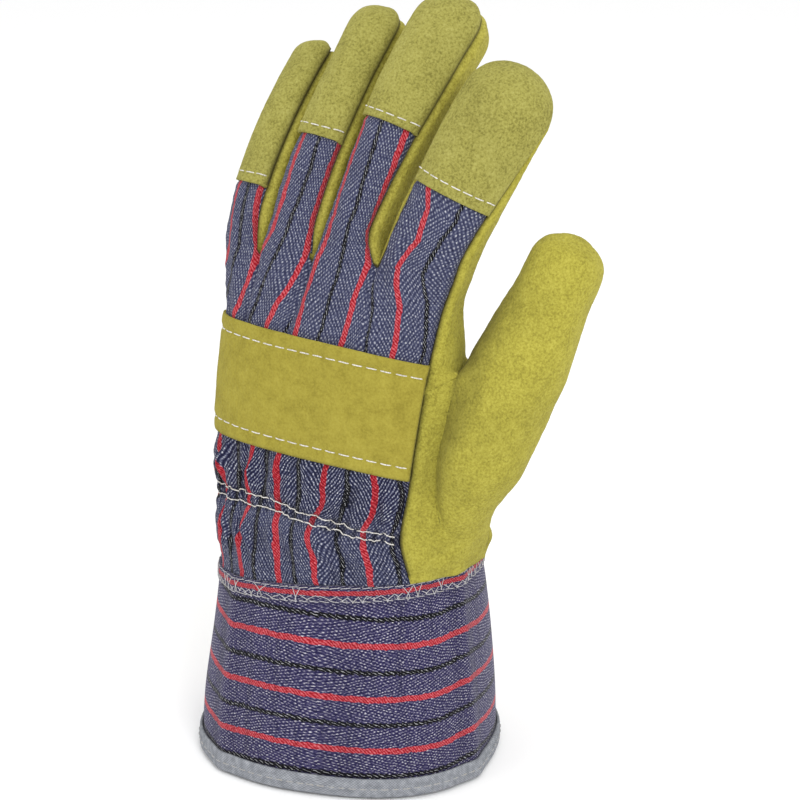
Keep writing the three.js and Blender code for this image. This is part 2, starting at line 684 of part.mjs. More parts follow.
// A ring round the cuff. Each profile point has a height and an offset out of the cuff's
// surface; heights from fromSeam are counted from the slanted seam, the others from the mouth.
function ringSolid(profile) {
  const positions = [];
  for (let c = 0; c < cuffColumns; c += 1) {
    const angle = 360 * c / cuffColumns;
    const top = seamHeight + seamSlope * sectionPoint(cuffSections, cuffSquareness, angle, seamHeight).x;
    for (const { z, fromSeam, offset } of profile) {
      const height = z === undefined ? top + fromSeam : z;
      const before = sectionPoint(cuffSections, cuffSquareness, angle - 1, height);
      const after = sectionPoint(cuffSections, cuffSquareness, angle + 1, height);
      const outward = new THREE.Vector3(after.y - before.y, before.x - after.x, 0).normalize();
      const point = sectionPoint(cuffSections, cuffSquareness, angle, height);
      positions.push(...point.addScaledVector(outward, offset).toArray());
    }
  }
  const size = profile.length;
  const triangles = [];
  for (let c = 0; c < cuffColumns; c += 1) {
    const next = (c + 1) % cuffColumns;
    for (let p = 0; p < size; p += 1) {
      const q = (p + 1) % size;
      const corners = [c * size + p, next * size + p, next * size + q, c * size + q];
      triangles.push([corners[0], corners[1], corners[2]], [corners[0], corners[2], corners[3]]);
    }
  }
  return geometryFrom(positions, triangles);
}

// profiles run up the outside and down the inside
const cuffFoot = hemWall + restingGap;
const cuffRows = [
  { z: cuffFoot }, { z: hemHeight }, { z: 24 }, { z: 44 }, { fromSeam: -bandHeight }, { fromSeam: -0.5 },
];
const cuffProfile = [
  ...cuffRows.map((row) => ({ ...row, offset: 0 })),
  ...cuffRows.toReversed().map((row) => ({ ...row, offset: -cuffWall })),
];
const hemOut = restingGap + hemWall;
const hemIn = cuffWall + restingGap + hemWall;
const hemProfile = [
  { z: 0, offset: hemOut }, { z: hemHeight, offset: hemOut }, { z: hemHeight, offset: restingGap },
  { z: hemWall, offset: restingGap }, { z: hemWall, offset: -hemIn + hemWall },
  { z: hemHeight, offset: -hemIn + hemWall }, { z: hemHeight, offset: -hemIn }, { z: 0, offset: -hemIn },
];
const bandProfile = [
  { fromSeam: -bandHeight, offset: restingGap + bandWall }, { fromSeam: -0.3, offset: restingGap + bandWall },
  { fromSeam: -0.3, offset: restingGap }, { fromSeam: -bandHeight, offset: restingGap },
];

const suede = new THREE.MeshStandardMaterial({ color: 0xb4aa45, roughness: 0.95, metalness: 0 });
const twill = new THREE.MeshStandardMaterial({ color: 0x5d5c7c, roughness: 0.9, metalness: 0 });
const binding = new THREE.MeshStandardMaterial({ color: 0xa3a5ab, roughness: 0.9, metalness: 0 });
const overlock = new THREE.MeshStandardMaterial({ color: 0xa08890, roughness: 0.9, metalness: 0 });

const group = new THREE.Group();

function addMesh(name, geometry, material) {
  const mesh = new THREE.Mesh(geometry, material.clone());
  mesh.name = name;
  group.add(mesh);
}

addHand();
addThumb();
addFingers();
const skin = weldSkin();

addMesh('cuff', ringSolid(cuffProfile), twill);
addMesh('cuff_hem', ringSolid(hemProfile), binding);
addMesh('cuff_seam_band', ringSolid(bandProfile), overlock);
const backWall = wallSolid(skin, 'back_cloth', 0, clothWall, seamTrim, clothTrimInside);
addMesh('back_cloth', backWall, twill);
addMesh('knuckle_strap', strapSolid(), suede);
for (const finger of fingers) {
  const cap = `${finger.name}_cap`;
  addMesh(cap, wallSolid(skin, cap, capLift, leatherWall), suede);
}
for (const name of ['palm', 'ring_front', 'middle_front', 'thumb_back', 'thumb_front']) {
  addMesh(name, wallSolid(skin, name, leatherLift, leatherWall), suede);
}
for (const name of forkPieces) {
  addMesh(name, wallSolid(skin, name, 0, forkWall, forkTrim, forkTrimInside), suede);
}

export default group;
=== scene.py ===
import math

import bpy
import numpy as np
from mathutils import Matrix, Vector, kdtree, noise
from mathutils.bvhtree import BVHTree


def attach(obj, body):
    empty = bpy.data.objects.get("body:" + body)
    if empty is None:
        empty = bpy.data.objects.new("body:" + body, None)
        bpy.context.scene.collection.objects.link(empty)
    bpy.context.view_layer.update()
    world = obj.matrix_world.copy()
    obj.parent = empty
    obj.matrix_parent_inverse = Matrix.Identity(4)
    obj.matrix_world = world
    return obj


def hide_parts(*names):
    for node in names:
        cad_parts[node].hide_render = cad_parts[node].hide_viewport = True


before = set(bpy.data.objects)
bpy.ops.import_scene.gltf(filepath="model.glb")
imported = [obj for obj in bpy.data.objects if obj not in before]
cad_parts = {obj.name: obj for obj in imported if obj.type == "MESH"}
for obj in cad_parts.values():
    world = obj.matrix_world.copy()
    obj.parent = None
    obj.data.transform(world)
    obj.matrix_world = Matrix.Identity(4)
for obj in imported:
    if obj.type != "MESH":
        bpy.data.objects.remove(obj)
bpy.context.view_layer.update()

chance = np.random.default_rng(7)
mm = 0.001

# Same sections as the solids: x to the thumb, y to the palm, z to the fingertips, all in mm.
# Angles run round a section from the back (0) by the thumb side (90) to the palm (180).
handSections = {
    "z": [60, 70, 88, 106, 126, 146, 164, 180, 205],
    "x": [0.5, 0.5, 1.7, -1.0, -2.0, -2.0, -1.0, 2.5, 6.5],
    "y": [1.0, 1.0, 0.0, -0.5, 0.0, 1.0, 3.0, 6.0, 14.0],
    "halfWidth": [45.0, 44.5, 47.0, 45.0, 44.0, 42.5, 42.0, 45.0, 50.0],
    "halfDepth": [31.5, 30.5, 26.0, 23.8, 22.0, 20.0, 17.6, 15.2, 13.0],
    "turn": [12, 12, 8, 4, 0, 0, 0, 0, 0],
    "seam": [36.5, 36.5, 28.5, 41.5, 52.5, 61, 70, 75, 76],
    "thumbFrom": [60, 60, 56, 64, 72, 78, 84, 86, 86],
    "thumbTo": [117, 117, 116, 115, 114, 112, 108, 106, 106],
    "squareness": 2.5,
}
cuffSections = {
    "z": [0, 20, 45, 70, 80],
    "x": [-1.0, -0.7, 0, 0, 0],
    "y": [1, 1, 1, 1, 1],
    "halfWidth": [50.4, 49.6, 47.0, 44.5, 44.0],
    "halfDepth": [41.8, 40.0, 36.3, 31.2, 30.5],
    "turn": [16, 15, 13, 12, 12],
    "squareness": 2.4,
}
fingers = [
    dict(name="little", x=-38.9, y=4.0, z=171.0, length=72.2, lean=5.2, bendRoot=14, bendTip=54,
         widthRoot=9.7, widthTip=8.5, depthRoot=11.0, depthTip=9.2,
         seamOuter=-72, seamInner=28, seamInnerTip=40, cap=19.5),
    dict(name="ring", x=-19.6, y=1.4, z=172.2, length=86.0, lean=6.9, bendRoot=15, bendTip=49.7,
         widthRoot=11.0, widthTip=9.6, depthRoot=12.0, depthTip=10.2,
         seamOuter=-68, seamInner=44, seamInnerTip=60, cap=37.0),
    dict(name="middle", x=0.2, y=0.8, z=173.0, length=92.4, lean=12.6, bendRoot=13, bendTip=48.9,
         widthRoot=9.4, widthTip=12.8, depthRoot=12.5, depthTip=11.8,
         seamOuter=-66, seamInner=51, seamInnerTip=62, cap=44.5),
    dict(name="index", x=27.9, y=1.9, z=175.0, length=69.8, lean=18.6, bendRoot=13, bendTip=35.5,
         widthRoot=14.4, widthTip=15.0, depthRoot=13.5, depthTip=12.5,
         seamOuter=-62, seamInner=62, seamInnerTip=102, cap=24.0),
]
thumb = dict(x=57.0, y=7.0, z=139.4, length=51.2, lean=19.2, bendRoot=14.2, bendTip=17,
             widthRoot=15.3, widthTip=11.9, depthRoot=15.0, depthTip=11.5,
             backCorner=-50, palmCorner=230, seam=128, forkHeight=138, rootHeight=75, fullHeight=114)
seams = dict(wristHeight=70, wristSlope=0.1, ulnar=-84, palmEdge=125, palmDrop=5,
             backShares=[0, 0.329, 0.493, 0.678, 1], palmShares=[0, 0.216, 0.408, 0.579, 0.861],
             forkHeights=[169, 171, 172, 174, 177], blendBelow=26, blendAbove=14,
             forkReach=14, forkOpening=0.22, forkClearance=1.3, thumbForkReach=4, webReach=6,
             cornerShare=0.18, coveredBelow=76)   # edges below coveredBelow lie under the cuff
digitForm = dict(squareness=2.15, growth=1.3, domeReach=0.98, domePower=2.3)
gathers = dict(height=91, spread=11, depth=0.7, folds=6, wander=0.5, fadeIn=12,
               halfWidth=46, halfDepth=27)


def lerp(a, b, t):
    return a + (b - a) * t


def spread(columns, start=0, stop=1):
    return np.linspace(start, stop, columns + 1)


def sameShape(a, b):
    return np.broadcast_arrays(np.asarray(a, float), np.asarray(b, float))


def near(distance, reach):   # 1 at distance 0, fading out over reach
    return np.exp(-(distance / reach) ** 2)


def smooth(t):
    t = np.clip(t, 0, 1)
    return t * t * (3 - 2 * t)


def column(table, key, z):
    zs, values = np.array(table["z"], float), np.array(table[key], float)
    slopes = np.concatenate((
        [(values[1] - values[0]) / (zs[1] - zs[0])],
        (values[2:] - values[:-2]) / (zs[2:] - zs[:-2]),
        [(values[-1] - values[-2]) / (zs[-1] - zs[-2])]))
    z = np.clip(z, zs[0], zs[-1])
    i = np.clip(np.searchsorted(zs, z, side="right") - 1, 0, len(zs) - 2)
    step = zs[i + 1] - zs[i]
    t = (z - zs[i]) / step
    return ((2 * t**3 - 3 * t**2 + 1) * values[i] + (t**3 - 2 * t**2 + t) * slopes[i] * step
            + (3 * t**2 - 2 * t**3) * values[i + 1] + (t**3 - t**2) * slopes[i + 1] * step)


def oval(angle, squareness):
    a = np.radians(angle)
    s, c = np.sin(a), np.cos(a)
    return np.sign(s) * np.abs(s) ** (2 / squareness), np.sign(c) * np.abs(c) ** (2 / squareness)


def sectionPoint(table, angle, z):
    angle, z = sameShape(angle, z)
    side, back = oval(angle, table["squareness"])
    x, y = column(table, "halfWidth", z) * side, -column(table, "halfDepth", z) * back
    turn = np.radians(column(table, "turn", z))
    return np.stack((column(table, "x", z) + x * np.cos(turn) - y * np.sin(turn),
                     column(table, "y", z) + x * np.sin(turn) + y * np.cos(turn), z), -1)


def handPoint(angle, z):
    point = sectionPoint(handSections, angle, z)
    angle, z = sameShape(angle, z)
    share = (angle - seams["ulnar"]) / (column(handSections, "seam", z) - seams["ulnar"])
    reach = near(z - gathers["height"], gathers["spread"])
    inside = np.clip(np.minimum(share, 1 - share) * gathers["fadeIn"], 0, 1)
    wander = gathers["wander"] * np.sin(z * 0.11 + share * 9)
    lift = gathers["depth"] * reach * inside * np.cos(2 * np.pi * gathers["folds"] * share + wander)
    across, deep = point[..., 0] / gathers["halfWidth"], point[..., 1] / gathers["halfDepth"]
    outward = np.stack((across, deep, 0 * z), -1)
    outward /= np.linalg.norm(outward, axis=-1, keepdims=True)
    return point + outward * lift[..., None]


def domeStart(digit):
    return digit["length"] - digitForm["domeReach"] * digit["widthTip"]


def digitPoint(digit, s, angle):
    s, angle = sameShape(s, angle)
    start = math.radians(digit["bendRoot"])
    bend = math.radians(digit["bendTip"] - digit["bendRoot"]) / digit["length"]
    here = start + bend * np.maximum(s, 0)
    along = np.where(s > 0, (np.sin(here) - math.sin(start)) / bend, s * math.cos(start))
    over = np.where(s > 0, (math.cos(start) - np.cos(here)) / bend, s * math.sin(start))
    lean = math.radians(digit["lean"])
    up = np.array([math.sin(lean), 0, math.cos(lean)])
    side = np.array([math.cos(lean), 0, -math.sin(lean)])
    back = up * np.sin(here)[..., None] + np.array([0, -1, 0]) * np.cos(here)[..., None]
    grown = smooth(digitForm["growth"] * s / digit["length"])
    width = lerp(digit["widthRoot"], digit["widthTip"], grown)
    depth = lerp(digit["depthRoot"], digit["depthTip"], grown)
    domed = np.clip((s - domeStart(digit)) / (digit["length"] - domeStart(digit)), 0, 1)
    shrink = np.sqrt(1 - domed ** digitForm["domePower"])
    u, v = oval(angle, digitForm["squareness"])
    centre = np.array([digit["x"], digit["y"], digit["z"]]) + up * along[..., None]
    centre = centre + np.array([0, 1, 0]) * over[..., None]
    return centre + side * (width * shrink * u)[..., None] + back * (depth * shrink * v)[..., None]


def handAngle(face, k, share, z):
    if face == "back":
        across = lerp(seams["backShares"][k], seams["backShares"][k + 1], share)
        return lerp(seams["ulnar"], column(handSections, "seam", z), across)
    p = 3 - k
    across = lerp(seams["palmShares"][p], seams["palmShares"][p + 1], 1 - share)
    return lerp(seams["palmEdge"], 360 + seams["ulnar"], across) + 0 * z


ulnarPalmEdge = lerp(seams["palmEdge"], 360 + seams["ulnar"], seams["palmShares"][4]) - 360


def rootHeight(face, k, share):
    heights = seams["forkHeights"]
    return lerp(heights[k], heights[k + 1], share) - (0 if face == "back" else seams["palmDrop"])


def fingerAngle(finger, face, share, s):
    outer = finger["seamOuter"]
    inner = lerp(finger["seamInner"], finger["seamInnerTip"], smooth(s / finger["length"]))
    if face == "back":
        return lerp(outer, inner, share)
    return lerp(180 - outer, 180 - finger["seamInner"], share) + 0 * s


def openFork(s, reach):
    return (1 - np.clip(s / reach, 0, 1)) ** 2


def blend(s):
    return smooth((s + seams["blendBelow"]) / (seams["blendBelow"] + seams["blendAbove"]))


def fingerSkin(face, k, share, s):
    share, s = sameShape(share, s)
    finger = fingers[k]
    z = rootHeight(face, k, share) + s
    onHand = handPoint(handAngle(face, k, share, z), z)
    onFinger = digitPoint(finger, s, fingerAngle(finger, face, share, s))
    pull = openFork(s, seams["forkReach"])[..., None]

    def edge(n, at):
        return digitPoint(fingers[n], s, fingerAngle(fingers[n], face, at, s))

    if k > 0:
        onFinger = onFinger + (edge(k - 1, 1) - edge(k, 0)) * 0.5 * ((1 - share) ** 2)[..., None] * pull
    if k < 3:
        onFinger = onFinger + (edge(k + 1, 0) - edge(k, 1)) * 0.5 * (share ** 2)[..., None] * pull
    return lerp(onHand, onFinger, blend(s)[..., None])


def sideWall(digit, share, s, reach, corners, edges):
    # the side of a digit between the edges of its back and its palm, drawn straight across at the fork
    t = share[..., None]
    offBack, offPalm = (edge - digitPoint(digit, s, corner) for edge, corner in zip(edges, corners))
    wall = digitPoint(digit, s, lerp(*corners, share)) + lerp(offBack, offPalm, t)
    return lerp(wall, lerp(*edges, t), openFork(s, reach)[..., None])


def forkWallSkin(k, inner, share, s):
    share, s = sameShape(share, s)
    finger = fingers[k]
    edge, turn = (1, 0) if inner else (0, -360)
    return sideWall(finger, share, s, seams["forkReach"],
                    (fingerAngle(finger, "back", edge, s), fingerAngle(finger, "palm", edge, s) + turn),
                    (fingerSkin("back", k, edge, s), fingerSkin("palm", k, edge, s)))


def forkSkin(k, inner, share, s):
    # the wall is pressed back where it would touch the one that faces it
    own = forkWallSkin(k, inner, share, s)
    facing = forkWallSkin(k + 1 if inner else k - 1, not inner, share, s)
    side = 1 if inner else -1
    apart = side * (facing - own)[..., 0]
    wanted = np.minimum(seams["forkOpening"] * np.asarray(s, float), seams["forkClearance"])
    own[..., 0] -= side * 0.5 * np.maximum(0, wanted - apart)
    return own


def sideRoot(k, share):
    edge = 1 if k == 3 else 0
    return lerp(rootHeight("back", k, edge), rootHeight("palm", k, edge), share)


def sideSkin(k, share, s):
    share, s = sameShape(share, s)
    finger = fingers[k]
    z = sideRoot(k, share) + s
    inner = lerp(finger["seamInner"], finger["seamInnerTip"], smooth(s / finger["length"]))
    if k == 3:
        onHand = handPoint(lerp(column(handSections, "seam", z), seams["palmEdge"], share), z)
        angle = lerp(inner, 180 - finger["seamInner"], share)
    else:
        onHand = handPoint(lerp(seams["ulnar"], ulnarPalmEdge, share), z)
        angle = lerp(finger["seamOuter"], -180 - finger["seamOuter"], share)
    return lerp(onHand, digitPoint(finger, s, angle), blend(s)[..., None])


def cornerWeight(share):
    return 0.5 + 0.5 * smooth(np.minimum(share, 1 - share) / seams["cornerShare"])


def thumbSkin(share, s):
    share, s = sameShape(share, s)
    z = thumb["forkHeight"] + s * np.where(s < 0, math.cos(math.radians(thumb["lean"])), 1)
    angle = lerp(column(handSections, "thumbFrom", z), column(handSections, "thumbTo", z), share)
    swell = smooth((z - thumb["rootHeight"]) / (thumb["fullHeight"] - thumb["rootHeight"]))
    corner = 1 - (1 - cornerWeight(share)) * openFork(s, seams["thumbForkReach"])
    onThumb = digitPoint(thumb, s, lerp(thumb["backCorner"], thumb["palmCorner"], share))
    return lerp(handPoint(angle, z), onThumb, np.where(s < 0, swell * corner, corner)[..., None])


def thumbBelow(z):
    return (z - thumb["forkHeight"]) / math.cos(math.radians(thumb["lean"]))


def thumbForkSkin(share, s):
    share, s = sameShape(share, s)
    return sideWall(thumb, share, s, seams["thumbForkReach"],
                    (thumb["backCorner"], thumb["palmCorner"] - 360), (thumbSkin(0, s), thumbSkin(1, s)))


def besideThumb(face, share, z):
    share, z = sameShape(share, z)
    back = face == "back"
    start = column(handSections, "seam" if back else "thumbTo", z)
    end = column(handSections, "thumbFrom", z) if back else seams["palmEdge"]
    corner = thumbSkin(0 if back else 1, thumbBelow(z))
    drawn = corner - handPoint(end if back else start, z)
    return handPoint(lerp(start, end, share), z) + drawn * smooth(share if back else 1 - share)[..., None]


forkFrom, forkTo = 0.3, 0.7


def forkRow(share):
    height = thumb["forkHeight"]
    onBack = besideThumb("back", np.clip(share / forkFrom, 0, 1), height)
    onPalm = besideThumb("palm", np.clip((share - forkTo) / (1 - forkTo), 0, 1), height)
    t = np.clip((share - forkFrom) / (forkTo - forkFrom), 0, 1)[..., None]
    across = lerp(thumbSkin(0, 0), thumbSkin(1, 0), t)
    beyond = np.where((share >= forkTo)[..., None], onPalm, across)
    return np.where((share <= forkFrom)[..., None], onBack, beyond)


def radialSkin(share, s):
    share, s = sameShape(share, s)
    root = sideRoot(3, share)
    above = np.clip((root + s - thumb["forkHeight"]) / seams["webReach"], 0, 1)
    deep = 2 * cornerWeight(np.clip((share - forkFrom) / (forkTo - forkFrom), 0, 1)) - 1
    keep = lerp(1 - smooth(above), (1 - above) ** 2, deep)
    shift = forkRow(share) - sideSkin(3, share, thumb["forkHeight"] - root)
    return sideSkin(3, share, s) + shift * keep[..., None]


def backSkin(share, z):
    share, z = sameShape(share, z)
    shares = seams["backShares"]
    point = np.zeros(share.shape + (3,))
    for k in range(4):
        low = -1 if k == 0 else shares[k]
        high = 2 if k == 3 else shares[k + 1]
        here = (share >= low) & (share < high)
        within = (share - shares[k]) / (shares[k + 1] - shares[k])
        found = fingerSkin("back", k, within, z - rootHeight("back", k, within))
        point = np.where(here[..., None], found, point)
    return point


def wristHeight(angle):
    return seams["wristHeight"] + seams["wristSlope"] * handPoint(angle, seams["wristHeight"])[..., 0]


def colour(hexValue):   # sRGB hex to the linear values that shaders take
    parts = [int(hexValue[i:i + 2], 16) / 255 for i in (1, 3, 5)]
    return tuple(p / 12.92 if p <= 0.04045 else ((p + 0.055) / 1.055) ** 2.4 for p in parts) + (1.0,)


def add(material, kind, inputs=(), output=0, stops=(), **settings):
    # one node: inputs by place or name, the stops of a ramp, its own settings; gives one of its outputs
    tree = material.node_tree
    node = tree.nodes.new("ShaderNode" + kind)
    for name, value in settings.items():
        setattr(node, name, value)
    for name, value in (inputs.items() if isinstance(inputs, dict) else enumerate(inputs)):
        if isinstance(value, bpy.types.NodeSocket):
            tree.links.new(value, node.inputs[name])
        else:
            node.inputs[name].default_value = value
    if stops:
        elements = node.color_ramp.elements
        elements.remove(elements[-1])
        for i, (place, tone) in enumerate(stops):
            element = elements.new(place) if i else elements[0]
            element.position, element.color = place, colour(tone)
    return node.outputs[output] if len(node.outputs) else node


def newMaterial(name):
    material = bpy.data.materials.new(name)
    material.use_nodes = True
    material.node_tree.nodes.clear()
    return material


def finishMaterial(material, shader):
    add(material, "OutputMaterial", {"Surface": shader})
    return material


# the settings of the Math nodes that are used most
times, timesPlus, minus = (dict(operation=kind) for kind in ("MULTIPLY", "MULTIPLY_ADD", "SUBTRACT"))

# Split cowhide: the flesh side left as it is after splitting and drum dyeing. It gives the eye a
# soft short nap with no gloss, a fine grit up close and faint clouds where the fibres lie over.
splitLeather = dict(
    layers=[(17, 3.0, 0.5), (4.2, 4.0, 0.6), (0.8, 3.0, 0.7)],   # clouds, patches, nap: mm, detail, rough
    patch=0.25, pitMm=1.5, napRelief=1.2, roughness=0.95, sheen=0.15, sheenTint="#D8D07E", bumpMm=0.35,
    # the dark colour that soil and painted shade are mixed towards
    grimeAndShade="#3A3519")
# each hide takes the dye its own way: the strap is smooth, the fingertips are paler with a coarser nap; the
# side strips are made lighter as painted light, for the light that falls on them between the fingers
hides = dict(
    strap=dict(light="#A39840", mid="#968B36", dark="#857A2C", nap=0.30, cloud=0.12),
    hand=dict(light="#B9B14F", mid="#A49C3E", dark="#888030", nap=0.75, cloud=0.20),
    tip=dict(light="#A8A35B", mid="#969148", dark="#757033", nap=0.85, cloud=0.18),
    strip=dict(light="#C2BA5A", mid="#ABA347", dark="#8A8234", nap=0.85, cloud=0.20))


def makeSplitLeather(name, hide):
    look = splitLeather
    m = newMaterial(name)
    place = add(m, "TexCoord", output="Object")
    cloud, patchy, nap = [add(m, "TexNoise", {"Vector": place, "Scale": 1 / (size * mm), "Detail": detail,
                                              "Roughness": rough}) for size, detail, rough in look["layers"]]
    pit = add(m, "TexVoronoi", {"Vector": place, "Scale": 1 / (look["pitMm"] * mm)})
    whole = hide["nap"] + hide["cloud"] + look["patch"]
    mixed = add(m, "Math", [cloud, hide["cloud"] / whole], **times)
    mixed = add(m, "Math", [patchy, look["patch"] / whole, mixed], **timesPlus)
    mixed = add(m, "Math", [nap, hide["nap"] / whole, mixed], **timesPlus)
    tone = add(m, "ValToRGB", [mixed], stops=[(0.38, hide["dark"]), (0.51, hide["mid"]),
                                              (0.66, hide["light"])])
    # soil and painted shade in the seams, painted shade in the folds and hollows
    shade = add(m, "Attribute", output="Fac", attribute_name="shade")
    wornAndShaded = add(m, "MixRGB", [shade, tone, colour(look["grimeAndShade"])])
    relief = add(m, "Math", [nap, look["napRelief"], pit], **timesPlus)
    bump = add(m, "Bump", {"Height": relief, "Strength": 0.45 + 0.4 * hide["nap"],
                           "Distance": look["bumpMm"] * mm})
    return finishMaterial(m, add(m, "BsdfPrincipled", {
        "Base Color": wornAndShaded, "Roughness": look["roughness"], "Sheen Weight": look["sheen"],
        "Sheen Roughness": 0.6, "Sheen Tint": colour(look["sheenTint"]), "IOR": 1.45,
        "Specular IOR Level": 0.2, "Normal": bump}))


# Cotton twill woven with a blue warp and a pale weft, striped in the warp. It gives the eye rows of
# small pale dots that slant away from each black line and turn at each red one.
twill = dict(
    red="#A31B27", redDeep="#6E0D17", redPale="#CC6C73", redMm=2.0, redEdgeMm=0.12, redRibMm=1.0,
    redRibLean=0.8, black="#050508", blackFleck="#A9AAAA", blackEdgeMm=0.4, dashLean=1.9, dashMmOut=0.45,
    fleckFrom=1.26, fleckTo=1.42, shadow="#0E0E18", shadowShare=0.6, roughness=0.9, fuzzTint="#C9C8D2",
    bumpMm=0.25, driftScale=0.25, driftMm=1.2, unevenScale=0.9)
# what changes where the cloth is drawn in: the ribs run on, more contrast, wider black lines, and darker,
# which is partly painted shade of the folds and the strap
gatherLook = dict(dots=-0.55, contrast=0.8, dim=-0.23, dimRed=-0.14, blackMm=-0.25)


def makeTwill(name, weaveLook):
    # The uv map "cloth" holds millimetres of flat cloth: u across the stripes, v along them. The attribute
    # shade darkens seams and folds, gather makes the pale dots stand out where the cloth is drawn in and
    # halfScale is half the width that one millimetre of flat cloth takes up there.
    look, w = twill, weaveLook
    m = newMaterial(name)

    def wave(value, period):   # 0 to 1 and back over one period
        turned = add(m, "Math", [value, 2 * math.pi / period], **times)
        return add(m, "Math", [add(m, "Math", [turned], operation="SINE"), 0.5, 0.5], **timesPlus)

    uv = add(m, "UVMap", uv_map="cloth")
    place = uv
    for scale, reach in ((look["driftScale"], look["driftMm"]), (look["unevenScale"], w["unevenMm"])):
        drift = add(m, "TexNoise", {"Vector": uv, "Scale": scale, "Detail": 2.0}, "Color")
        place = add(m, "VectorMath", [drift, (reach, reach, 0.0), place], **timesPlus)
    u, v, _ = add(m, "SeparateXYZ", [place]).node.outputs
    fromRed = add(m, "Math", [u, w["repeatMm"] / 2], operation="PINGPONG")
    fromBlack = add(m, "Math", [w["repeatMm"] / 2, fromRed], **minus)
    gather, shade, halfScale = [add(m, "Attribute", output="Fac", attribute_name=mark)
                                for mark in ("gather", "shade", "halfScale")]
    scale = add(m, "Math", [halfScale, 2.0], **times)
    redSeen, blackSeen = [add(m, "Math", [away, scale], **times) for away in (fromRed, fromBlack)]

    # rise is constant along a rib, run is the way along it
    length = math.hypot(1, w["slope"])
    rise = add(m, "Math", [fromBlack, w["slope"], v], **timesPlus)
    run = add(m, "Math", [v, -w["slope"], fromBlack], **timesPlus)
    rib = wave(rise, w["ribMm"] * length)
    dot = wave(add(m, "Math", [rise, 0.5 * w["dotMm"] / w["ribMm"], run], **timesPlus), w["dotMm"] * length)
    dotted = add(m, "Math", [gather, gatherLook["dots"] * w["dotShare"], w["dotShare"]], **timesPlus)
    broken = add(m, "Math", [add(m, "Math", [dot, 1.0], **minus), dotted, 1.0], **timesPlus)
    weave = add(m, "Math", [rib, broken], **times)

    # slubs in the threads make the cloth uneven
    stretched = add(m, "VectorMath", [uv, w["slubStretch"]], **times)
    slub = add(m, "TexNoise", {"Vector": stretched, "Scale": w["slubScale"], "Detail": 2.0,
                               "Roughness": 0.75})
    woven = add(m, "Math", [weave, w["weaveShare"]], **times)
    uneven = add(m, "Math", [slub, w["slubShare"], woven], **timesPlus)
    middle = 0.5 * w["slubShare"] + 0.36 * w["weaveShare"]
    contrast = add(m, "Math", [gather, gatherLook["contrast"], 1.0], **timesPlus)
    dimmed = add(m, "Math", [gather, gatherLook["dim"], 0.45], **timesPlus)
    level = add(m, "Math", [add(m, "Math", [uneven, middle], **minus), contrast, dimmed], **timesPlus)
    ground = add(m, "ValToRGB", [level], stops=[(0.05, w["deep"]), (0.36, w["navy"]), (0.6, w["mid"]),
                                                (0.95, w["fleck"])])

    redRib = wave(add(m, "Math", [u, look["redRibLean"], v], **timesPlus), look["redRibMm"])
    redWeave = add(m, "Math", [add(m, "Math", [weave, 0.6, redRib], **timesPlus), 0.35,
                               add(m, "Math", [gather, gatherLook["dimRed"]], **times)], **timesPlus)
    redTone = add(m, "ValToRGB", [add(m, "Math", [slub, 0.9, redWeave], **timesPlus)], stops=[
        (0.35, look["redDeep"]), (0.65, look["red"]), (1.0, look["redPale"])])
    # the black line is broken by pale threads that cross it
    dash = wave(add(m, "Math", [u, look["dashLean"], v], **timesPlus), w["dashMm"])
    ragged = add(m, "Math", [dash, look["dashMmOut"], blackSeen], **timesPlus)
    ragged = add(m, "Math", [gather, gatherLook["blackMm"], ragged], **timesPlus)
    crossing = add(m, "Math", [blackSeen, -0.35, add(m, "Math", [slub, 0.9, dash], **timesPlus)], **timesPlus)
    redHalf, blackHalf = look["redMm"] / 2, w["blackMm"] / 2
    redMask, blackMask, fleckMask = [
        add(m, "MapRange", {"Value": value, "From Min": low, "From Max": high},
            interpolation_type="SMOOTHSTEP")
        for value, low, high in ((redSeen, redHalf + look["redEdgeMm"], redHalf - look["redEdgeMm"]),
                                 (ragged, blackHalf + look["blackEdgeMm"], blackHalf),
                                 (crossing, look["fleckFrom"], look["fleckTo"]))]
    blackTone = add(m, "MixRGB", [fleckMask, colour(look["black"]), colour(look["blackFleck"])])
    striped = add(m, "MixRGB", [blackMask, add(m, "MixRGB", [redMask, ground, redTone]), blackTone])
    # painted shade with some soil: the shade mark darkens the cloth towards the shadow colour
    soiledAndShaded = add(m, "Math", [shade, look["shadowShare"]], **times)
    wornAndShaded = add(m, "MixRGB", [soiledAndShaded, striped, colour(look["shadow"])])
    bump = add(m, "Bump", {"Height": weave, "Strength": 0.5, "Distance": look["bumpMm"] * mm})
    return finishMaterial(m, add(m, "BsdfPrincipled", {
        "Base Color": wornAndShaded, "Roughness": look["roughness"], "IOR": 1.5, "Specular IOR Level": 0.12,
        "Sheen Weight": w["fuzz"], "Sheen Roughness": 0.5, "Sheen Tint": colour(look["fuzzTint"]),
        "Normal": bump}))


# Cotton tape, woven plain and folded over the edge: pale grey, matt, with small even crossings.
tapeLook = dict(dark="#686B71", mid="#83868C", pale="#A5A8AD", threadMm=0.9, crossing=0.22, bumpMm=0.2)


